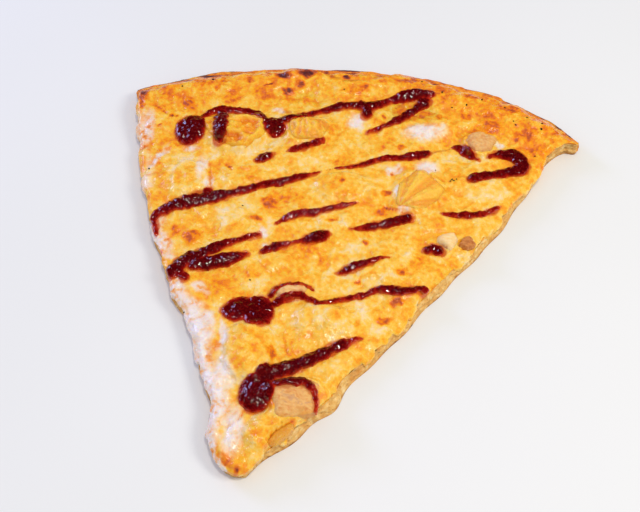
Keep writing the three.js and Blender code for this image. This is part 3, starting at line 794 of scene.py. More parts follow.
# %% What the spots make of the cheese
def warped(x, y, amount, size, seed):
    """Points pushed about by lumps, so that round shapes drawn over them get uneven edges."""
    return x + amount * rough(x, y, size, seed), y + amount * rough(x, y, size, seed + 7)


def spots(x, y, places, inner, outer):
    """For each place a soft step from 1 to 0 between two shares of its half sizes; the strongest counts."""
    strongest = np.zeros_like(x)
    for px, py, half_x, half_y, *turn in places:
        a, b = in_axes(x, y, (px, py), (half_x, half_y), turn[0] if turn else PHOTO_TURN)
        strongest = np.maximum(strongest, smooth(outer, inner, np.hypot(a, b)))
    return strongest


def in_from_left(x, y):
    """How far in from the left cut side a point lies, and its share of the way from point to rim."""
    dx, dy = x - TIP_LEFT[0], y - TIP_LEFT[1]
    v = (dx * LEFT_ALONG[0] + dy * LEFT_ALONG[1]) / np.linalg.norm(LEFT_CORNER - TIP_LEFT)
    outward = dx * LEFT_OUT[0] + dy * LEFT_OUT[1]
    return left_top(v) - outward, v


def browning_and_painted_light(x, y):
    """How much lighter (above 0) or darker (below 0) than golden the cheese looks at each point. Baking
    gives
    most of it: cream spots add, and deep, brown and charred spots and the nearness of the rim take away.
    Painted shade darkens the folds, and a painted highlight lightens the edges of covered pieces."""
    wide_x, wide_y = warped(x, y, 5, 7, 41)
    near_x, near_y = warped(x, y, 1.3, 2.4, 43)
    rim = from_rim(wide_x, wide_y)
    tone = 0.15 * spots(wide_x, wide_y, CREAM, 0.4, 1.8) - 0.13 * spots(wide_x, wide_y, DEEP, 0.5, 1.7)
    # Painted highlight: the edges of covered pieces are lightened in colour.
    # Painted shade: the folds are darkened in colour.
    tone = tone + 0.12 * block_edge(x, y, COVERED) - 0.26 * fold_depth(x, y)
    tone = tone - 0.1 * smooth(32, 8, rim) - 0.04 * smooth(9, 3, rim)
    blotches = smooth(0.14, 0.42, rough(x, y, 4.2, 45)) * smooth(20, 6, from_rim(x, y))
    tone = tone - 0.13 * blotches
    tone = tone * (1 - 0.7 * spots(near_x, near_y, BROWN + CHARRED, 0.5, 1.5))
    tone = tone - 0.12 * spots(near_x, near_y, BROWN, 0.5, 1.9)
    return tone - 0.44 * spots(near_x, near_y, CHARRED, 0.4, 1.7)


# %% All marks of the cheese
def cheese_marks(x, y):
    """Tone, paleness, blisters, stain and smears at given points, each with its own ragged edges."""
    left_in, v = in_from_left(*warped(x, y, 4, 6, 47))
    near_point = 7.4 * smooth(0.42, 0.3, v) * smooth(0.02, 0.09, v)
    pale_width = near_point + 6 * smooth(0.2, 0.45, v) * smooth(1.0, 0.85, v)
    patchy = smooth(-0.34, 0.06, rough(x, y, 8, 48) + 0.3 * smooth(0.45, 0.3, v))
    patchy = patchy * lerp(1, 0.6, smooth(0.5, 0.7, v))
    # The band along the left cut side is pale cheese, and the lilac that the finish gives it is painted cool
    # light from the window on that side.
    strip = smooth(1.2, 0.3, left_in / (pale_width + 0.1)) * patchy
    milky = 0.85 * spots(*warped(x, y, 3, 5, 49), MILKY, 0.5, 1.5)
    kept = 1 - 0.85 * spots(*warped(x, y, 0.9, 2.2, 43), BROWN + CHARRED, 0.6, 1.6)
    sauce, smear = distance_to(x, y, STROKES.values(), POOLS), distance_to(x, y, SMEARS)
    return {
        "tone": browning_and_painted_light(x, y),
        "pale": np.maximum(strip, milky) * kept,
        "blister": spots(*warped(x, y, 1.6, 2.4, 43), BROWN, 0.2, 1.8),
        "stain": smooth(1.5, -0.4, sauce + rough(x, y, 2.6, 61)),
        "smear": smooth(0.6, -0.8, smear + 0.8 * rough(x, y, 1.6, 62)),
    }


# %% [markdown]
# ## Small helpers for finishes
# A finish is a tree of nodes. These helpers add one node each and hand back its output, so that a finish
# below reads like a recipe: noise, a ramp of colours, a mix by a mark. Colours are given as on a screen,
# from 0 to 255, and turned to the linear light that the shader works in.


# %% Node helpers
def colour(red, green, blue):
    """A screen colour as linear light: the standard curve, by its power 2.4 part and its foot."""
    screen = np.array([red, green, blue]) / 255
    linear = np.where(screen > 0.04045, ((screen + 0.055) / 1.055) ** 2.4, screen / 12.92)
    return (*linear.tolist(), 1.0)


class Finish:
    """A material with its node tree, and one method for each kind of node used here."""

    def __init__(self, name, **settings):
        self.material = bpy.data.materials.new(name)
        self.material.use_nodes = True
        self.tree = self.material.node_tree
        self.shader = self.tree.nodes["Principled BSDF"]
        self.place = self.tree.nodes.new("ShaderNodeTexCoord").outputs["Object"]
        for socket, value in settings.items():
            self.shader.inputs[socket.replace("_", " ")].default_value = value

    def put(self, value, socket):
        """Links an output to a socket, or sets the socket to a number or to a screen colour."""
        if isinstance(value, bpy.types.NodeSocket):
            self.tree.links.new(value, socket)
        else:
            socket.default_value = colour(*value) if isinstance(value, tuple) else value

    def node(self, kind, **inputs):
        """A new node of a kind, with its inputs linked or set by their names."""
        made = self.tree.nodes.new("ShaderNode" + kind)
        for name, value in inputs.items():
            self.put(value, made.inputs[name])
        return made

    def noise(self, size_mm, detail=3.0, roughness=0.55, stretch=None, warp=0.0):
        """Fractal noise whose largest lumps are about size_mm across."""
        vector = self.stretched(*stretch) if stretch else self.place
        made = self.node("TexNoise", Scale=1000 / size_mm, Detail=detail, Roughness=roughness,
                         Distortion=warp, Vector=vector)
        return made.outputs["Fac"]

    def stretched(self, turn, scale):
        """Object coordinates turned about Z and scaled unevenly, for grain that runs one way."""
        made = self.node("Mapping", Vector=self.place)
        made.inputs["Rotation"].default_value = (0, 0, math.radians(turn))
        made.inputs["Scale"].default_value = scale
        return made.outputs["Vector"]

    def pores(self, size_mm):
        """Distance to the nearest scattered point, one for about each size_mm."""
        return self.node("TexVoronoi", Scale=1000 / size_mm, Vector=self.place).outputs["Distance"]

    def mark(self, name):
        """The mark of that name on the mesh."""
        made = self.node("Attribute")
        made.attribute_name = name
        return made.outputs["Fac"]

    def maths(self, operation, a, b):
        """Two values put together by a Math node, such as added or multiplied."""
        made = self.node("Math")
        made.operation = operation
        self.put(a, made.inputs[0])
        self.put(b, made.inputs[1])
        return made.outputs["Value"]

    def total(self, *values):
        """The sum of several values."""
        running = values[0]
        for value in values[1:]:
            running = self.maths("ADD", running, value)
        return running

    def between(self, value, low, high, to_low=0.0, to_high=1.0):
        """The value mapped smoothly from low..high to to_low..to_high."""
        made = self.node("MapRange", Value=value)
        made.interpolation_type = "SMOOTHSTEP"
        for name, number in zip(("From Min", "From Max", "To Min", "To Max"), (low, high, to_low, to_high)):
            made.inputs[name].default_value = number
        return made.outputs["Result"]

    def ramp(self, value, *stops):
        """Screen colours along a value: each stop is a position and the colour's three numbers."""
        made = self.node("ValToRGB", Fac=value)
        elements = made.color_ramp.elements
        while len(elements) < len(stops):
            elements.new(0.5)
        for element, (position, *screen) in zip(elements, stops):
            element.position = position
            element.color = colour(*screen)
        return made.outputs["Color"]

    def mix(self, share, first, second):
        """The second colour over the first, by a share."""
        made = self.node("Mix")
        made.data_type = "RGBA"
        for name, value in (("Factor", share), ("A", first), ("B", second)):
            self.put(value, made.inputs[name])
        return made.outputs["Result"]

    def patches(self, base, tint, value, low, high, strength):
        """A tint over a base where a value goes from low to high, up to a strength."""
        return self.mix(self.between(value, low, high, 0, strength), base, tint)

    def ragged(self, name, grain, amount, low, high):
        """A mark whose soft edge is broken up by a grain of noise."""
        shaken = self.maths("MULTIPLY_ADD", grain, amount)
        shaken.node.inputs[2].default_value = -amount / 2
        return self.between(self.maths("ADD", self.mark(name), shaken), low, high)

    def stain(self, base, tint, strength, name, grain, amount, low=0.35, high=0.65):
        """A tint over a base where a ragged mark is, up to a strength."""
        share = self.maths("MULTIPLY", self.ragged(name, grain, amount, low, high), strength)
        return self.mix(share, base, tint)

    def bump(self, height, depth_mm, under=None):
        """Fine relief of a depth, on top of any relief under it."""
        made = self.node("Bump", Height=height, Distance=depth_mm / 1000)
        if under is not None:
            self.put(under, made.inputs["Normal"])
        return made.outputs["Normal"]

    def finish(self, base, roughness, normal):
        """Links the three results that vary over the surface."""
        self.put(base, self.shader.inputs["Base Color"])
        self.put(roughness, self.shader.inputs["Roughness"])
        self.put(normal, self.shader.inputs["Normal"])
        print(self.material.name, "has", len(self.tree.nodes), "nodes")
        return self.material


# %% [markdown]
# ## Finish: melted cheese
# Baked mozzarella is golden with deeper orange where it toasted, cream where the milk solids stayed pale,
# and brown on its blisters. Light goes a little way into it, so it has a touch of subsurface scattering,
# and a thin film of oil gives it a coat. The marks say where each tone lies, and noise frays their edges.


# %% Cheese finish
def cheese_finish():
    """Ten tones from char to cream, along the mark plus four noises. Blisters pull the tone to brown, and
    milky patches and the stains round the drizzle lie over it."""
    f = Finish("melted_cheese", Subsurface_Weight=0.25, Subsurface_Radius=(1.0, 0.5, 0.15),
               Subsurface_Scale=0.0018, Specular_IOR_Level=0.5, Coat_Weight=0.2, Coat_Roughness=0.16)
    broad, shreds = f.noise(11, 3, 0.6, warp=0.4), f.noise(4.6, 2.5, 0.58, warp=0.2)
    middle, fine = f.noise(2.3, 2, 0.55), f.noise(0.9, 2, 0.55)
    tone = f.total(
        f.mark("tone"),
        f.between(broad, 0.3, 0.7, 0.49, 0.65),
        f.between(shreds, 0.3, 0.7, -0.05, 0.09),
        f.between(middle, 0.32, 0.68, -0.05, 0.07),
        f.between(fine, 0.32, 0.68, -0.03, 0.035),
    )
    blister = f.maths("MULTIPLY", f.ragged("blister", shreds, 0.8, 0.1, 0.8), 0.85)
    blistered = f.maths("MULTIPLY", blister, f.between(middle, 0.36, 0.64, 0.17, 0.38))
    tone = f.total(f.maths("MULTIPLY", tone, f.maths("SUBTRACT", 1.0, blister)), blistered)
    baked = f.ramp(tone, (0.02, 92, 40, 42), (0.12, 134, 58, 46), (0.22, 192, 86, 34), (0.32, 228, 112, 24),
                   (0.41, 243, 142, 20), (0.50, 248, 166, 32), (0.59, 250, 186, 54), (0.69, 252, 202, 88),
                   (0.80, 249, 212, 138), (0.95, 247, 222, 186))
    # The lilac of this ramp's upper stops is painted cool window light.
    milky = f.ramp(f.total(tone, f.between(middle, 0.32, 0.68, -0.06, 0.06)), (0.24, 222, 122, 52),
                   (0.34, 240, 162, 88), (0.44, 239, 196, 158), (0.54, 236, 216, 208), (0.80, 240, 232, 234))
    skin = f.mix(f.maths("MULTIPLY", f.mark("pale"), f.between(shreds, 0.3, 0.55, 0.7, 1.0)), baked, milky)
    skin = f.stain(skin, (208, 76, 10), 0.85, "stain", fine, 0.5, 0.3, 1.0)
    skin = f.stain(skin, (178, 58, 22), 0.42, "smear", fine, 0.5)
    relief = f.bump(shreds, 0.8, f.bump(middle, 0.4, f.bump(fine, 0.12)))
    return f.finish(skin, f.between(middle, 0.3, 0.7, 0.4, 0.16), relief)


CHEESE = cheese_finish()

# %% [markdown]
# ## Finish: baked dough
# The cut sides show a pale, open crumb, the rim is toasted, and the underside is browned in patches where
# it lay on the hot stone, with a dusting of flour left in between.


# %% Dough finish
def dough_finish():
    """Crumb, top and underside are three ramps along noise, and the marks say which of them shows where.
    The crumb is darkened in its pores as painted shade.
    """
    f = Finish("baked_dough", Subsurface_Weight=0.1, Subsurface_Radius=(1.0, 0.6, 0.35),
               Subsurface_Scale=0.001, Specular_IOR_Level=0.3)
    broad, middle, fine = f.noise(9, 3, 0.6), f.noise(2.6, 4, 0.6), f.noise(0.7, 3, 0.6)
    pores = f.pores(1.5)
    crumb = f.ramp(middle, (0.3, 214, 154, 78), (0.5, 232, 184, 106), (0.7, 248, 218, 156))
    # Painted shade: the crumb is darker in its pores, the hollows of the bump below.
    crumb = f.patches(crumb, (196, 126, 52), pores, 0.3, 0.12, 0.6)
    crumb = f.patches(crumb, (214, 140, 60), broad, 0.58, 0.7, 0.6)
    tone = f.total(f.mark("tone"), f.between(broad, 0.3, 0.7, 0.42, 0.62),
                   f.between(middle, 0.32, 0.68, -0.08, 0.08), f.between(fine, 0.32, 0.68, -0.04, 0.04))
    top = f.ramp(tone, (0.04, 84, 40, 38), (0.16, 140, 62, 40), (0.28, 214, 104, 26), (0.4, 242, 142, 20),
                 (0.52, 249, 172, 40), (0.7, 250, 202, 100))
    under = f.ramp(broad, (0.34, 138, 76, 34), (0.5, 190, 122, 60), (0.64, 222, 170, 104))
    under = f.patches(under, (236, 212, 172), middle, 0.58, 0.7, 0.6)
    under = f.patches(under, (74, 38, 22), f.noise(5, 2), 0.36, 0.27, 0.85)
    skin = f.mix(f.mark("under"), f.mix(f.mark("crumb"), top, crumb), under)
    skin = f.stain(skin, (92, 50, 48), 0.85, "charred", fine, 0.7)
    relief = f.bump(middle, 0.4, f.bump(fine, 0.3, f.bump(pores, 0.25)))
    return f.finish(skin, f.between(fine, 0.3, 0.7, 0.62, 0.85), relief)


DOUGH = dough_finish()

# %% [markdown]
# ## Finish: barbecue drizzle
# A thick sauce is nearly black where it is deep, and red-brown where its edge thins out over the cheese.
# It is glossy, with a fine sugary grain that breaks its highlights into sparkles.


# %% Drizzle finish
def drizzle_finish():
    """Orange where it is thinnest, then red, then nearly black, with paler and darker grains in it."""
    f = Finish("barbecue_drizzle", Subsurface_Weight=0.05, Subsurface_Radius=(1.0, 0.1, 0.05),
               Subsurface_Scale=0.001, IOR=1.6, Specular_IOR_Level=0.6)
    fine, middle, grain = f.noise(1.1, 1, 0.5), f.noise(2.4, 2, 0.5), f.noise(0.7, 2, 0.6)
    depth = f.total(f.mark("thick"), f.between(middle, 0.3, 0.7, -0.16, 0.16))
    base = f.ramp(depth, (0.0, 210, 90, 24), (0.14, 200, 62, 26), (0.34, 168, 30, 16), (0.6, 122, 6, 8),
                  (0.95, 80, 1, 6))
    base = f.patches(base, (160, 36, 26), grain, 0.54, 0.7, 0.45)
    base = f.patches(base, (60, 2, 8), grain, 0.46, 0.34, 0.5)
    return f.finish(base, f.between(middle, 0.35, 0.65, 0.1, 0.05), f.bump(fine, 0.32, f.bump(middle, 0.25)))


DRIZZLE = drizzle_finish()

# %% [markdown]
# ## Finish: pineapple
# Cooked pineapple is translucent and golden, with paler fibres, and it browns along its edges. Its relief is
# painted into its colour too: painted shade darkens the hollows and a painted highlight lightens the tops.


# %% Pineapple finish
def pineapple_finish():
    """Browned, golden and pale along the mark of fibres and painted shade, then lighter and browner patches
    and stains.
    """
    f = Finish("pineapple", Subsurface_Weight=0.4, Subsurface_Radius=(1.0, 0.6, 0.15),
               Subsurface_Scale=0.003, Specular_IOR_Level=0.5, Coat_Weight=0.25, Coat_Roughness=0.2)
    middle, fine = f.noise(2.8, 3, 0.6, warp=0.4), f.noise(0.7, 3, 0.6)
    browned_and_shaded = (238, 134, 22)
    # Painted shade and highlight: the dark end of this ramp falls in the hollows of each piece's relief and
    # the pale end on its tops.
    flesh = f.ramp(f.mark("fibre_and_shade"), (0.0, *browned_and_shaded), (0.35, 250, 168, 28), (0.85, 254, 198, 66))
    flesh = f.patches(flesh, (255, 216, 96), middle, 0.52, 0.68, 0.5)
    flesh = f.patches(flesh, browned_and_shaded, middle, 0.44, 0.34, 0.4)
    flesh = f.stain(flesh, browned_and_shaded, 0.5, "edge", middle, 0.6, 0.5, 1.1)
    flesh = f.mix(f.mark("paleness"), flesh, (250, 200, 100))
    flesh = f.mix(f.mark("brownness"), flesh, (206, 146, 60))
    flesh = f.stain(flesh, (196, 78, 20), 0.5, "stain", fine, 0.5, 0.3, 1.0)
    return f.finish(flesh, f.between(middle, 0.3, 0.7, 0.36, 0.2), f.bump(fine, 0.25, f.bump(middle, 0.8)))


PINEAPPLE = pineapple_finish()

# %% [markdown]
# ## Finish: chicken
# Cooked breast meat: matt, creamy tan, with fine parallel fibres and toasted high spots.


# %% Chicken finish
def chicken_finish():
    """Tan and pale along a stretched grain, with toasted and greyer patches, and paler or browner pieces."""
    f = Finish("chicken", Subsurface_Weight=0.3, Subsurface_Radius=(1.0, 0.6, 0.35),
               Subsurface_Scale=0.002, Specular_IOR_Level=0.4, Coat_Weight=0.08, Coat_Roughness=0.3)
    grain = f.noise(1.6, 4, 0.65, stretch=(25, (0.6, 1.5, 1.0)))
    middle, fine = f.noise(3.4, 4, 0.6, warp=0.8), f.noise(0.7, 3, 0.6)
    meat = f.patches((236, 174, 92), (246, 206, 134), grain, 0.35, 0.65, 0.7)
    meat = f.patches(meat, (222, 124, 56), middle, 0.5, 0.66, 0.6)
    meat = f.patches(meat, (206, 156, 122), middle, 0.44, 0.34, 0.6)
    meat = f.stain(meat, (246, 172, 66), 0.6, "edge", middle, 0.8, 0.4, 1.0)
    meat = f.mix(f.mark("paleness"), meat, f.ramp(grain, (0.35, 246, 204, 130), (0.6, 248, 222, 170)))
    meat = f.mix(f.mark("brownness"), meat, f.ramp(grain, (0.35, 166, 86, 30), (0.65, 212, 132, 60)))
    meat = f.stain(meat, (190, 80, 30), 0.55, "stain", fine, 0.5, 0.3, 1.0)
    return f.finish(meat, f.between(middle, 0.3, 0.7, 0.55, 0.4), f.bump(grain, 0.2, f.bump(fine, 0.2)))


CHICKEN = chicken_finish()

# %% [markdown]
# ## The dough
# The real dough is a thin baked sheet with an open crumb where it was cut. An extruded outline would have
# plain walls, so it is a closed shell in three parts: a top and an underside, each an even grid, and rings
# between them for the sides. On the cut sides the rings are pushed in where a pore opened, and at the rim
# they bulge out.

# %% The side of the dough
GRID_SPAN = 175  # about how many millimetres the shares of a grid run over
DOUGH_GRID = (170, 180)
DOUGH_RINGS = 14
CRUMB_LEAN = 0.4  # the share of the side's lean at the top of the dough
SIDE_HEIGHT = 5.0  # the height that the crumb's pattern runs over


def dough_ring(share, p, q):
    """One ring of the side, at a share of the way down: the outline moved out by crumb, which is flakes
    plus layers less pores, and at the rim by a bulge, half a sine wave high. Also says what is rim."""
    ring = patch(p, q, lerp(CRUMB_LEAN, 1, share), full_reach)
    x, y = ring[:, 0], ring[:, 1]
    along, height = running_length(ring), share * SIDE_HEIGHT
    at_rim = smooth(7, 3, from_rim(x, y))
    pores = smooth(0.45, 0.1, cells(along, height * 1.3, 2.2, 71)) * 0.9
    flakes = 1.1 * rough(along, height * 2.2, 3.6, 73)
    layers = 0.28 * np.sin(height * 4.2 + 2 * rough(along, height, 9, 74))
    crumb = (flakes + layers - pores) * (1 - at_rim) * np.sin(math.pi * share) ** 0.5
    bulge = at_rim * (1.2 * np.sin(math.pi * share) - 0.5 + 1.3 * rough(along, height, 5, 75))
    moved = ring + outward_of(ring) * (crumb + bulge)[:, None]
    return np.column_stack([moved, lerp(dough_top(x, y), dough_bottom(x, y), share)]), at_rim


def charred_zones(x):
    """The stretches of rim whose skin is burnt, as bells along x."""
    return np.clip(bell(x, -74, 15) + bell(x, -16, 22) + 0.8 * bell(x, 97, 5), 0, 1)


# %% Dough
def in_from_edge(p, q):
    """About how far in from the nearest edge of a grid a point lies."""
    return GRID_SPAN * np.minimum(np.minimum(p, q), np.minimum(1 - p, 1 - q))


def dough_sheets(p, q):
    """The top, with lumps, blisters and an edge that rolls over, and the underside, with hollows."""
    top, base = patch(p, q, CRUMB_LEAN, full_reach), patch(p, q, 1.0, full_reach)
    x, y = top[..., 0], top[..., 1]
    roll = smooth(1.6, 0, in_from_edge(p, q))
    top_z = dough_top(x, y) + 0.35 * rough(x, y, 4, 77) - 0.35 * roll + bump_height(x, y, BLISTERS)
    bx, by = base[..., 0], base[..., 1]
    hollows = smooth(-0.05, 0.45, rough(bx, by, 14, 78)) * 0.5 + 0.12 * rough(bx, by, 2.4, 79)
    base_z = dough_bottom(bx, by) + np.clip(hollows, 0, None) * smooth(0, 5, in_from_edge(p, q))
    return as_points(x, y, top_z), as_points(bx, by, base_z)


def make_dough():
    """The two sheets, the rings between them, and the marks that say what each part of the skin is."""
    rows, columns = DOUGH_GRID
    count = rows * columns
    p, q = grid_shares(rows, columns)
    loop = loop_of(rows, columns)
    shares = [number / DOUGH_RINGS for number in range(1, DOUGH_RINGS)]
    rings, at_rim = zip(*[dough_ring(share, p.ravel()[loop], q.ravel()[loop]) for share in shares])
    bands, last = bands_below(loop, 2 * count, len(rings))
    sheets = [grid_faces(rows, columns), grid_faces(rows, columns, count, upwards=False)]
    points = np.concatenate([*dough_sheets(p, q), *rings])
    x, y = points[:, 0], points[:, 1]
    under = [np.full(len(loop), smooth(0.86, 1.0, share)) for share in shares]
    ragged = smooth(-0.3, 0.1, rough(x, y, 6, 91)) * smooth(4.2, 1.6, from_rim(x, y))
    marks = {
        "crumb": np.concatenate([np.zeros(2 * count), 1 - np.concatenate(at_rim)]),
        "under": np.concatenate([np.zeros(count), np.ones(count), *under]),
        "tone": browning_and_painted_light(x, y),
        "charred": charred_zones(x) * ragged,
    }
    return new_piece("dough", points, [*sheets, *bands, band_faces(last, count + loop)], marks, DOUGH,
                     ["crust"])


make_dough()

# %% [markdown]
# ## The cheese
# A melted layer could be a remesh of the dough's top, but then its spots would have no fixed places. So
# the top is an even grid lifted to the surface worked out above. Its edge rolls over, and a few rings take
# it down to the dough, sagging outwards in drips. A coarse underside closes it where the dough hides it.

# %% The top and the side of the cheese
CHEESE_GRID = (276, 288)
CHEESE_RINGS = 10
CLOSING_SHARES = (0.02, 0.05, 0.09)  # how far in the rings of the hidden underside lie
CHEESE_OVERLAP = 0.35  # how far the underside reaches down into the gap over the dough
DRIP_LENGTH = 3.2


def cheese_sheet(p, q):
    """The top, which rolls over at its edge by squares of soft steps, and never dips into the dough."""
    top = patch(p, q, 0, cheese_reach)
    x, y = top[..., 0], top[..., 1]
    cut_in, rim_in = GRID_SPAN * np.minimum(p, q), GRID_SPAN * np.minimum(1 - p, 1 - q)
    roll = 0.9 * smooth(2.2, 0, cut_in) ** 2 + 1.1 * smooth(6, 0, rim_in) ** 2
    return as_points(x, y, np.maximum(cheese_surface(x, y) - roll, dough_top(x, y) + LAYER_GAP))


def cheese_under(ring):
    """The height of the hidden underside below the points of a ring."""
    return dough_top(ring[:, 0], ring[:, 1]) + LAYER_GAP - CHEESE_OVERLAP


def cheese_side(p, q, top_z):
    """Rings from the edge of the top down to the underside, or further where it drips. Each leans as the
    cut side does and sags outwards by a sine of the share of the way down."""
    edge, upright, foot = (patch(p, q, lean, cheese_reach) for lean in (0, CRUMB_LEAN, 1.0))
    along, under = running_length(edge), cheese_under(edge)
    on_cut = smooth(5, 12, from_rim(edge[:, 0], edge[:, 1]))
    to_point = np.hypot(edge[:, 0] - TIP_LEFT[0], edge[:, 1] - TIP_LEFT[1])
    drips = np.maximum(smooth(-0.15, 0.35, rough(along, along * 0, 6, 81)), smooth(16, 6, to_point)) * on_cut
    rings = []
    for number in range(1, CHEESE_RINGS + 1):
        share = number / CHEESE_RINGS
        z = lerp(top_z, under - DRIP_LENGTH * drips, share)
        leaning = np.clip((top_z - z) / (top_z - under), 0, 1)[:, None]
        sunk = np.clip((under - z) / under, 0, 1)[:, None]
        ring = lerp(lerp(edge, upright, leaning), foot, sunk)
        sag = (0.3 + 0.9 * drips) * math.sin(math.pi * share**0.7) + 0.5 * rough(along, z, 2.4, 83)
        rings.append(np.column_stack([ring + outward_of(ring) * (sag * on_cut)[:, None], z]))
    return rings


# %% Cheese
def make_cheese():
    """The top, its side, and an underside of three rings and one face, as one closed skin."""
    rows, columns = CHEESE_GRID
    p, q = grid_shares(rows, columns)
    loop = loop_of(rows, columns)
    loop_p, loop_q = p.ravel()[loop], q.ravel()[loop]
    sheet = cheese_sheet(p, q)
    rings = cheese_side(loop_p, loop_q, sheet[loop, 2])
    for inset in CLOSING_SHARES:
        inner_p, inner_q = lerp(inset, 1 - inset, loop_p), lerp(inset, 1 - inset, loop_q)
        ring = patch(inner_p, inner_q, CRUMB_LEAN, cheese_reach)
        rings.append(np.column_stack([ring, cheese_under(ring)]))
    bands, last = bands_below(loop, rows * columns, len(rings))
    points = np.concatenate([sheet, *rings])
    marks = cheese_marks(points[:, 0], points[:, 1])
    return new_piece("cheese_layer", points, [grid_faces(rows, columns), *bands, last[None, ::-1]], marks,
                     CHEESE, ["cheese"])


make_cheese()

# %% [markdown]
# ## Pieces of topping
# Each could be sculpted by hand, but a formula is easier to change: a profile carried round the piece's
# outline, over the crown, round the shoulder and down into the cheese. What makes it pineapple or chicken
# is the relief on top, so each has a function for that: fibres that fan out or run side by side, a curled
# edge, or the coarse grain of torn meat.


# %% Relief of each piece, from a (along) and b (across) in millimetres and the share of the outline
# Each gives the height, and how pale the fibre is there; where that follows the height, it is painted shade
# in the hollows and painted highlight on the tops.
def curled_relief(a, b, share):
    """A hollow piece with a thick, curled edge: a ring of bells by share, stronger at one end."""
    rib = np.sin(1.6 * a + 1.2 * rough(a, b, 5, 11))
    lip = 1.4 * bell(share, 0.84, 0.12) * smooth(-4, 5, b) - 0.7 * bell(share, 0.5, 0.25) * smooth(-6, 3, b)
    bump = rough(a, b, 4.4, 12)
    # The second value follows the height: painted shade in the hollows, painted highlight on the ribs, lumps
    # and lip.
    return 0.12 * rib + lip + 2.6 * bump, 0.56 + 0.12 * rib + 1.1 * bump + 0.35 * lip


def ribbed_relief(a, b, share):
    """Upright ribs about 3 mm apart, wandering a little, over soft lumps."""
    rib = np.sin(2 * math.pi * (a / 3 + 1.1 * rough(a, b, 6, 14)))
    bump = rough(a, b, 4, 15)
    # The second value follows the ribs and lumps: painted shade in their hollows, painted highlight on their
    # tops.
    return 0.3 * rib * smooth(1.0, 0.8, share) + 1.4 * bump, 0.52 + 0.14 * rib + 0.9 * bump


def fan_relief(a, b, share):
    """Folds that radiate from one corner of the piece, and a raised arc along its far edge. The colour that
    it gives is painted highlight and shade on the folds, and a painted shadow along the far edge.
    """
    spread = np.arctan2(b - 1.0, a + 12.5)
    rib = np.sin(11 * spread + 1.4 * rough(a, b, 7, 16)) + 0.3 * np.sin(41 * spread)
    far = np.hypot(a + 12.5, b - 1.0)
    # Painted highlight and shade follow the folds, and a painted shadow darkens the far edge.
    shade = 0.55 + 0.35 * rib - 0.5 * smooth(0.88, 1.0, share) * smooth(-2, 4, a)
    return 0.3 * rib + 0.5 * bell(far, 21, 1.6) + 0.8 * rough(a, b, 6, 17), shade


def meat_relief(a, b, share):
    """Coarse strands along the piece, with torn hollows."""
    strands = 0.45 * rough(a, b * 2.6, 4, 18) + 0.6 * rough(a, b, 6, 19)
    return strands - 0.4 * smooth(0.45, 0.15, cells(a, b, 4.5, 20)), 0.5 + 0.5 * rough(a, b * 2.6, 3, 21)


def smooth_relief(a, b, share):
    """A softly uneven top."""
    return 0.35 * rough(a, b, 5, 22), 0.5 + 0.5 * rough(a, b * 2, 3, 23)


RELIEFS = {
    "pineapple_left": curled_relief,
    "pineapple_middle": ribbed_relief,
    "pineapple_fan": fan_relief,
    "pineapple_cut": smooth_relief,
    "chicken_rim": meat_relief,
    "chicken_point": smooth_relief,
    "chicken_centre": meat_relief,
    "chicken_right": smooth_relief,
    "chicken_cut": meat_relief,
}

# %% Toppings
AROUND, OVER, DOWN = 120, 44, 8  # points round a piece, rings over its crown, and rings down its side


def make_topping(name, spec, finish):
    """Rings of points at growing shares of the outline, then rings down the side, closed below."""
    angle = np.linspace(0, 2 * math.pi, AROUND, endpoint=False)
    shares = np.concatenate([np.sin(np.linspace(0.02, 1, OVER) * math.pi / 2), np.ones(DOWN)])
    t, s = np.meshgrid(angle, shares)
    down = np.concatenate([np.zeros(OVER), np.linspace(0, 1, DOWN + 1)[1:]])[:, None]
    reach = s * outline_reach(t, spec["square"]) * (1 - 0.04 * down)
    reach = reach * (1 + 0.16 * rough(3 * np.cos(t), 3 * np.sin(t), 1.4, 24 + len(name)) * s)
    a = reach * np.cos(t) * spec["size"][0]
    b = reach * np.sin(t) * spec["size"][1] * (1 + spec["taper"] * reach * np.cos(t))
    lift, fibre_and_shade = RELIEFS[name](a, b, s)
    edge = crown(spec, s) + lift * smooth(1.05, 0.8, s)
    z = lerp(edge, POCKET_FLOOR, down)
    x, y = off_axes(a, b, spec["at"], spec["turn"])
    first = np.arange(AROUND)
    bands, last = bands_below(first, AROUND, len(shares) - 1)
    sauce = distance_to(x, y, STROKES.values(), POOLS)
    marks = {
        "fibre_and_shade": fibre_and_shade.ravel(),
        "edge": smooth(0.78, 1.05, s + 0.2 * rough(a, b, 3, 25)).ravel(),
        "paleness": np.full(s.size, spec["pale"]),
        "brownness": np.full(s.size, spec["brown"]),
        "stain": smooth(1.6, -0.2, sauce + rough(x, y, 2.2, 26)).ravel(),
    }
    faces = [*bands, first[None, :], last[None, ::-1]]
    return new_piece(name + "_piece", as_points(x, y, z), faces, marks, finish, [name])


for name, spec in PIECES.items():
    fruit = name.startswith("pineapple")
    finish, slot = (PINEAPPLE, "pineapple") if fruit else (CHICKEN, "chicken")
    make_topping(name, spec, finish)

# %% [markdown]
# ## The drizzle
# Every run is a tube along its route and every pool a flattened ball, both lying on whatever is below.
# Curves with a round bevel would do for the tubes, but would show where they cross. A voxel remesh melts
# them all into one skin, as the real sauce runs together, and a last pass of numpy makes it lumpy and
# notes how thick it is, for the finish.


# %% What the drizzle lies on
def piece_surface(spec, relief, x, y):
    """The height of a piece's crown and relief at points given in the slice's axes."""
    share = share_in(spec, x, y)
    a, b = in_axes(x, y, spec["at"], (1, 1), spec["turn"])
    lift, _ = relief(a, b, share)
    return crown(spec, np.minimum(share, 1)) + lift * smooth(1.05, 0.8, share)


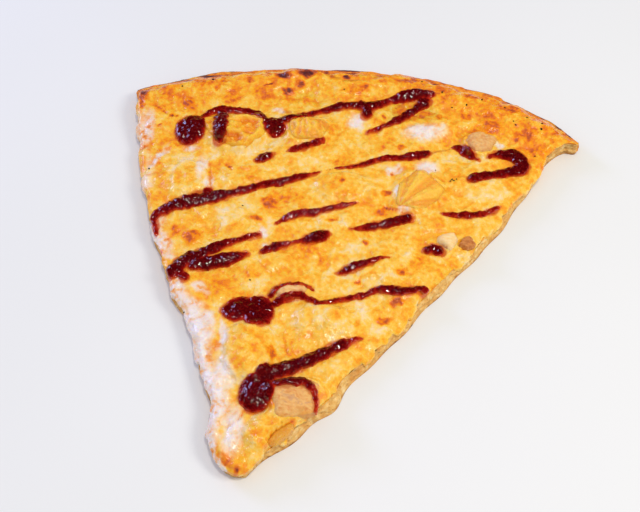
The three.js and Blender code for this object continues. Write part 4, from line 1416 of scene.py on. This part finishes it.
def resting_surface(x, y):
    """The height of the cheese, or of a piece where one stands higher."""
    z = cheese_surface(x, y)
    for name, spec in PIECES.items():
        inside = share_in(spec, x, y) < 1.0
        z = np.where(inside, np.maximum(z, piece_surface(spec, RELIEFS[name], x, y)), z)
    return z


# %% Sizes of the drizzle
DRIZZLE_RISE = 0.36  # of a run's width
DRIZZLE_MOST = 2.2
DRIZZLE_SUNK = 0.8
RUN_STEP, RUN_SIDES = 0.7, 18  # between the rings of a run, and points on each
POOL_CIRCLES, POOL_SIDES = 24, 48
RUN_SEED, POOL_SEED = 100, 140


# %% Rings of a run and of a pool
def run_rings(route, seed):
    """Rings across the route: half a width each way, a dome above and a shallow belly below. The
    width is shaken by lumps, and the middle drifts a little to either side."""
    line, at, full = run_through(route, RUN_STEP)
    heading = np.gradient(line[:, :2], axis=0)
    heading /= np.linalg.norm(heading, axis=1, keepdims=True)
    side = np.stack([heading[:, 1], -heading[:, 0]], 1)
    shaken = 1 + 0.4 * rough(at, at * 0, 3.4, seed) + 0.3 * rough(at, at * 0, 1.6, seed + 9)
    width = line[:, 2] * full * shaken
    drift = 0.5 * rough(at, at * 0 + 7, 4.5, seed + 5) * full
    angle = np.linspace(0, 2 * math.pi, RUN_SIDES, endpoint=False)
    across = np.cos(angle)[None, :] * width[:, None] / 2 + drift[:, None]
    x = line[:, :1] + side[:, :1] * across
    y = line[:, 1:2] + side[:, 1:2] * across
    rise = np.minimum(DRIZZLE_RISE * line[:, 2], DRIZZLE_MOST) * full
    up = np.sin(angle)[None, :]
    lift = np.where(up > 0, up * rise[:, None], up * DRIZZLE_SUNK) - 0.2 * (1 - full[:, None])
    return np.stack([x, y, resting_surface(x, y) + lift], -1)


def pool_rings(at, size, turn, rise, seed):
    """A flattened ball: circles of latitude whose outline is shaken by lumps."""
    angle = np.linspace(0, 2 * math.pi, POOL_SIDES, endpoint=False)
    latitude = np.linspace(math.pi / 2 - 0.03, -math.pi / 2 + 0.03, POOL_CIRCLES)
    t, tilt = np.meshgrid(angle, latitude)
    wobble = 1 + 0.1 * rough(np.cos(t) * 3 + seed, np.sin(t) * 3, 2, seed)
    a, b = np.cos(t) * np.cos(tilt) * wobble * size[0], np.sin(t) * np.cos(tilt) * wobble * size[1]
    x, y = off_axes(a, b, at, turn)
    up = np.sin(tilt)
    return np.stack([x, y, resting_surface(x, y) + np.where(up > 0, up * rise, up * DRIZZLE_SUNK)], -1)


def tube_faces(rings, start):
    """Quads between neighbouring rings, and one face over each end."""
    count, sides = rings.shape[:2]
    number = start + np.arange(count * sides).reshape(count, sides)
    bands = np.concatenate([band_faces(number[i + 1], number[i]) for i in range(count - 1)])
    return [bands, number[0][None, ::-1], number[-1][None, :]]


# %% Drizzle
DRIZZLE_VOXEL = 0.00038  # in metres: fine enough for its ragged edge
FULLY_THICK = 1.8  # the height at which the sauce has its darkest tone


def make_drizzle():
    """All tubes and pools in one mesh, melted together by a remesh, then made lumpy."""
    parts = [run_rings(route, RUN_SEED + i) for i, route in enumerate(STROKES.values())]
    parts += [pool_rings(*pool, POOL_SEED + i)[::-1] for i, pool in enumerate(POOLS)]
    points, faces = [], []
    for rings in parts:
        faces += tube_faces(rings, sum(len(done) for done in points))
        points.append(rings.reshape(-1, 3))
    piece = new_piece("drizzle", np.concatenate(points), faces, {}, DRIZZLE, ["cheese"])
    remesh = piece.modifiers.new("melt", "REMESH")
    remesh.mode = "VOXEL"
    remesh.voxel_size = DRIZZLE_VOXEL
    remesh.use_smooth_shade = True
    melted = bpy.data.meshes.new_from_object(piece.evaluated_get(bpy.context.evaluated_depsgraph_get()))
    piece.modifiers.clear()
    piece.data = melted
    melted.name = "drizzle"
    shake_drizzle(melted)
    return piece


def shake_drizzle(mesh):
    """Moves each vertex along its normal by fine lumps, and marks its height above what it lies on."""
    count = len(mesh.vertices)
    places, normals = np.zeros(count * 3, np.float32), np.zeros(count * 3, np.float32)
    mesh.vertices.foreach_get("co", places)
    mesh.vertex_normals.foreach_get("vector", normals)
    points = places.reshape(-1, 3).astype(float) * 1000 - TO_ORIGIN
    x, y = points[:, 0], points[:, 1]
    shake = 0.42 * rough(x, y, 1.9, 160, 3) + 0.3 * rough(x, y, 0.95, 163, 2)
    points = points + normals.reshape(-1, 3) * shake[:, None]
    mesh.vertices.foreach_set("co", ((points + TO_ORIGIN) / 1000).astype(np.float32).ravel())
    set_marks(mesh, {"thick": np.clip((points[:, 2] - resting_surface(x, y)) / FULLY_THICK, 0, 1)})
    mesh.update()
    print("the drizzle is melted to", count, "points")


make_drizzle()

# %% [markdown]
# ## Specks
# Here and there sits a burnt crumb or a fleck of herb, under a millimetre across. Each is a squashed,
# lumpy ball of a few dozen faces, and all of them are one mesh.

# %% Specks
SPECK_SIDES, SPECK_CIRCLES = 8, 5
# x, y, half size
BURNT_SPECKS = [
    (-81.0, 74.6, 0.45), (-68.1, 82.3, 0.5), (-5.8, 89.5, 0.35), (39.5, 98.3, 0.5), (28.9, 104.2, 0.4),
    (58.4, 98.0, 0.45), (51.9, 92.4, 0.5), (45.4, 89.9, 0.4), (69.5, 95.4, 0.4), (87.3, 88.1, 0.45),
    (87.3, 84.6, 0.6), (80.3, 90.9, 0.4), (74.4, 87.1, 0.35), (75.7, 84.9, 0.4), (86.4, 69.5, 0.4),
    (-34.3, 12.7, 0.35), (-80.4, 23.1, 0.4), (-20.8, -24.5, 0.35), (-42.5, -46.0, 0.35),
]
HERB_SPECKS = [
    (52.1, 46.7, 0.45), (52.9, 46.2, 0.4), (51.5, 45.7, 0.35), (54.0, 47.0, 0.3), (44.1, 51.1, 0.3),
]


def speck_finish(name, dark, light):
    """Two tones along a very fine noise."""
    f = Finish(name, Specular_IOR_Level=0.3)
    fine = f.noise(0.4, 2)
    tint = f.ramp(fine, (0.35, *dark), (0.65, *light))
    return f.finish(tint, f.between(fine, 0.3, 0.7, 0.6, 0.8), f.bump(fine, 0.1))


def make_specks(name, places, finish, seed):
    """Balls of 8 by 5 points, half as high as wide, each radius shaken by its own random numbers."""
    random = np.random.default_rng(seed)
    around = np.linspace(0, 2 * math.pi, SPECK_SIDES, endpoint=False)
    angle, latitude = np.meshgrid(around, np.linspace(1.4, -1.4, SPECK_CIRCLES))
    points, faces = [], []
    for x, y, half in places:
        radius = half * (1 + 0.3 * random.uniform(-1, 1, angle.shape))
        spin = random.uniform(0, math.pi)
        a = radius * np.cos(angle) * np.cos(latitude) * 1.3
        b = radius * np.sin(angle) * np.cos(latitude) * 0.8
        px, py = off_axes(a, b, (x, y), math.degrees(spin))
        ground = cheese_surface(np.array([x]), np.array([y]))[0]
        ball = np.stack([px, py, ground + 0.1 + 0.45 * radius * np.sin(latitude)], -1)
        faces += [face[:, ::-1] for face in tube_faces(ball, ball[..., 0].size * len(points))]
        points.append(ball.reshape(-1, 3))
    return new_piece(name, np.concatenate(points), faces, {}, finish)


make_specks("burnt_specks", BURNT_SPECKS, speck_finish("burnt", (24, 14, 12), (60, 30, 20)), 5)
make_specks("herb_specks", HERB_SPECKS, speck_finish("herb", (40, 44, 20), (92, 84, 40)), 6)

# %% [markdown]
# ## Floor, light and camera
# The slice lies on a plain pale floor. A cool window stands to the left and a warm lamp to the right, both
# wide enough for soft shadows. Only the window and a small lamp overhead are mirrored in the drizzle: the
# window as blue edges, the small lamp as sparkles. The warm lamp and the white room are hidden from mirror
# rays, or the dark sauce would look grey. The camera looks down at 54 degrees.


# %% Floor
def floor_finish():
    """Nearly white, with a wide and very faint unevenness."""
    f = Finish("pale_floor", Specular_IOR_Level=0.25)
    wide = f.noise(300, 2)
    tint = f.ramp(wide, (0.3, 228, 230, 231), (0.7, 231, 233, 236))
    return f.finish(tint, f.between(wide, 0.3, 0.7, 0.5, 0.6), f.bump(wide, 0.01))


floor_mesh = bpy.data.meshes.new("floor")
floor_mesh.from_pydata([(-3, -3, 0), (3, -3, 0), (3, 3, 0), (-3, 3, 0)], [], [(0, 1, 2, 3)])
floor_mesh.materials.append(floor_finish())
floor = bpy.data.objects.new("floor", floor_mesh)
bpy.context.scene.collection.objects.link(floor)


# %% Light
def aim(thing, target):
    """Turns a lamp or a camera, which look along their own -Z, towards a point."""
    direction = np.array(target) - np.array(thing.location)
    flat = math.hypot(direction[0], direction[1])
    thing.rotation_euler = (math.atan2(flat, -direction[2]), 0, math.atan2(-direction[0], direction[1]))


def soft_lamp(name, place, size, watts, tint):
    """A square area lamp that points at the slice."""
    lamp = bpy.data.lights.new(name, "AREA")
    lamp.shape = "RECTANGLE"
    lamp.size, lamp.size_y = size
    lamp.energy = watts
    lamp.color = tint
    holder = bpy.data.objects.new(name, lamp)
    holder.location = place
    bpy.context.scene.collection.objects.link(holder)
    aim(holder, (0, 0, 0))
    return holder


soft_lamp("window", (-0.8, 0.34, 0.4), (0.3, 0.26), 3.0, (0.44, 0.5, 1.0))
key = soft_lamp("key", (0.64, -0.02, 0.62), (0.28, 0.28), 2.7, (1.0, 0.96, 0.88))
key.visible_glossy = False
soft_lamp("overhead", (0.15, -0.12, 1.0), (0.06, 0.06), 2.6, (1.0, 0.92, 0.8))

# %% The white room around it
ROOM_STRENGTH = 0.58
world = bpy.data.worlds.new("soft_room")
world.use_nodes = True
background = world.node_tree.nodes["Background"]
background.inputs["Color"].default_value = (1.0, 0.99, 0.97, 1.0)
background.inputs["Strength"].default_value = ROOM_STRENGTH
world.cycles_visibility.glossy = False
bpy.context.scene.world = world
bpy.context.scene.view_settings.view_transform = "Standard"
bpy.context.scene.view_settings.look = "None"

# %% Camera
CAMERA_TARGET = np.array([3.193, -6.604, 6.0]) / 1000
CAMERA_DISTANCE = 0.42646
CAMERA_ELEVATION = math.radians(54)
CAMERA_LENS = 57.09
turn = math.radians(PHOTO_TURN)
back = np.array([math.sin(turn) * math.cos(CAMERA_ELEVATION), -math.cos(turn) * math.cos(CAMERA_ELEVATION),
                 math.sin(CAMERA_ELEVATION)])
camera_data = bpy.data.cameras.new("camera")
camera_data.lens = CAMERA_LENS
camera_data.clip_start = 0.01
camera = bpy.data.objects.new("camera", camera_data)
camera.location = CAMERA_TARGET + CAMERA_DISTANCE * back
aim(camera, CAMERA_TARGET)
bpy.context.scene.collection.objects.link(camera)
bpy.context.scene.camera = camera
print("the camera stands at", [round(v, 3) for v in camera.location])
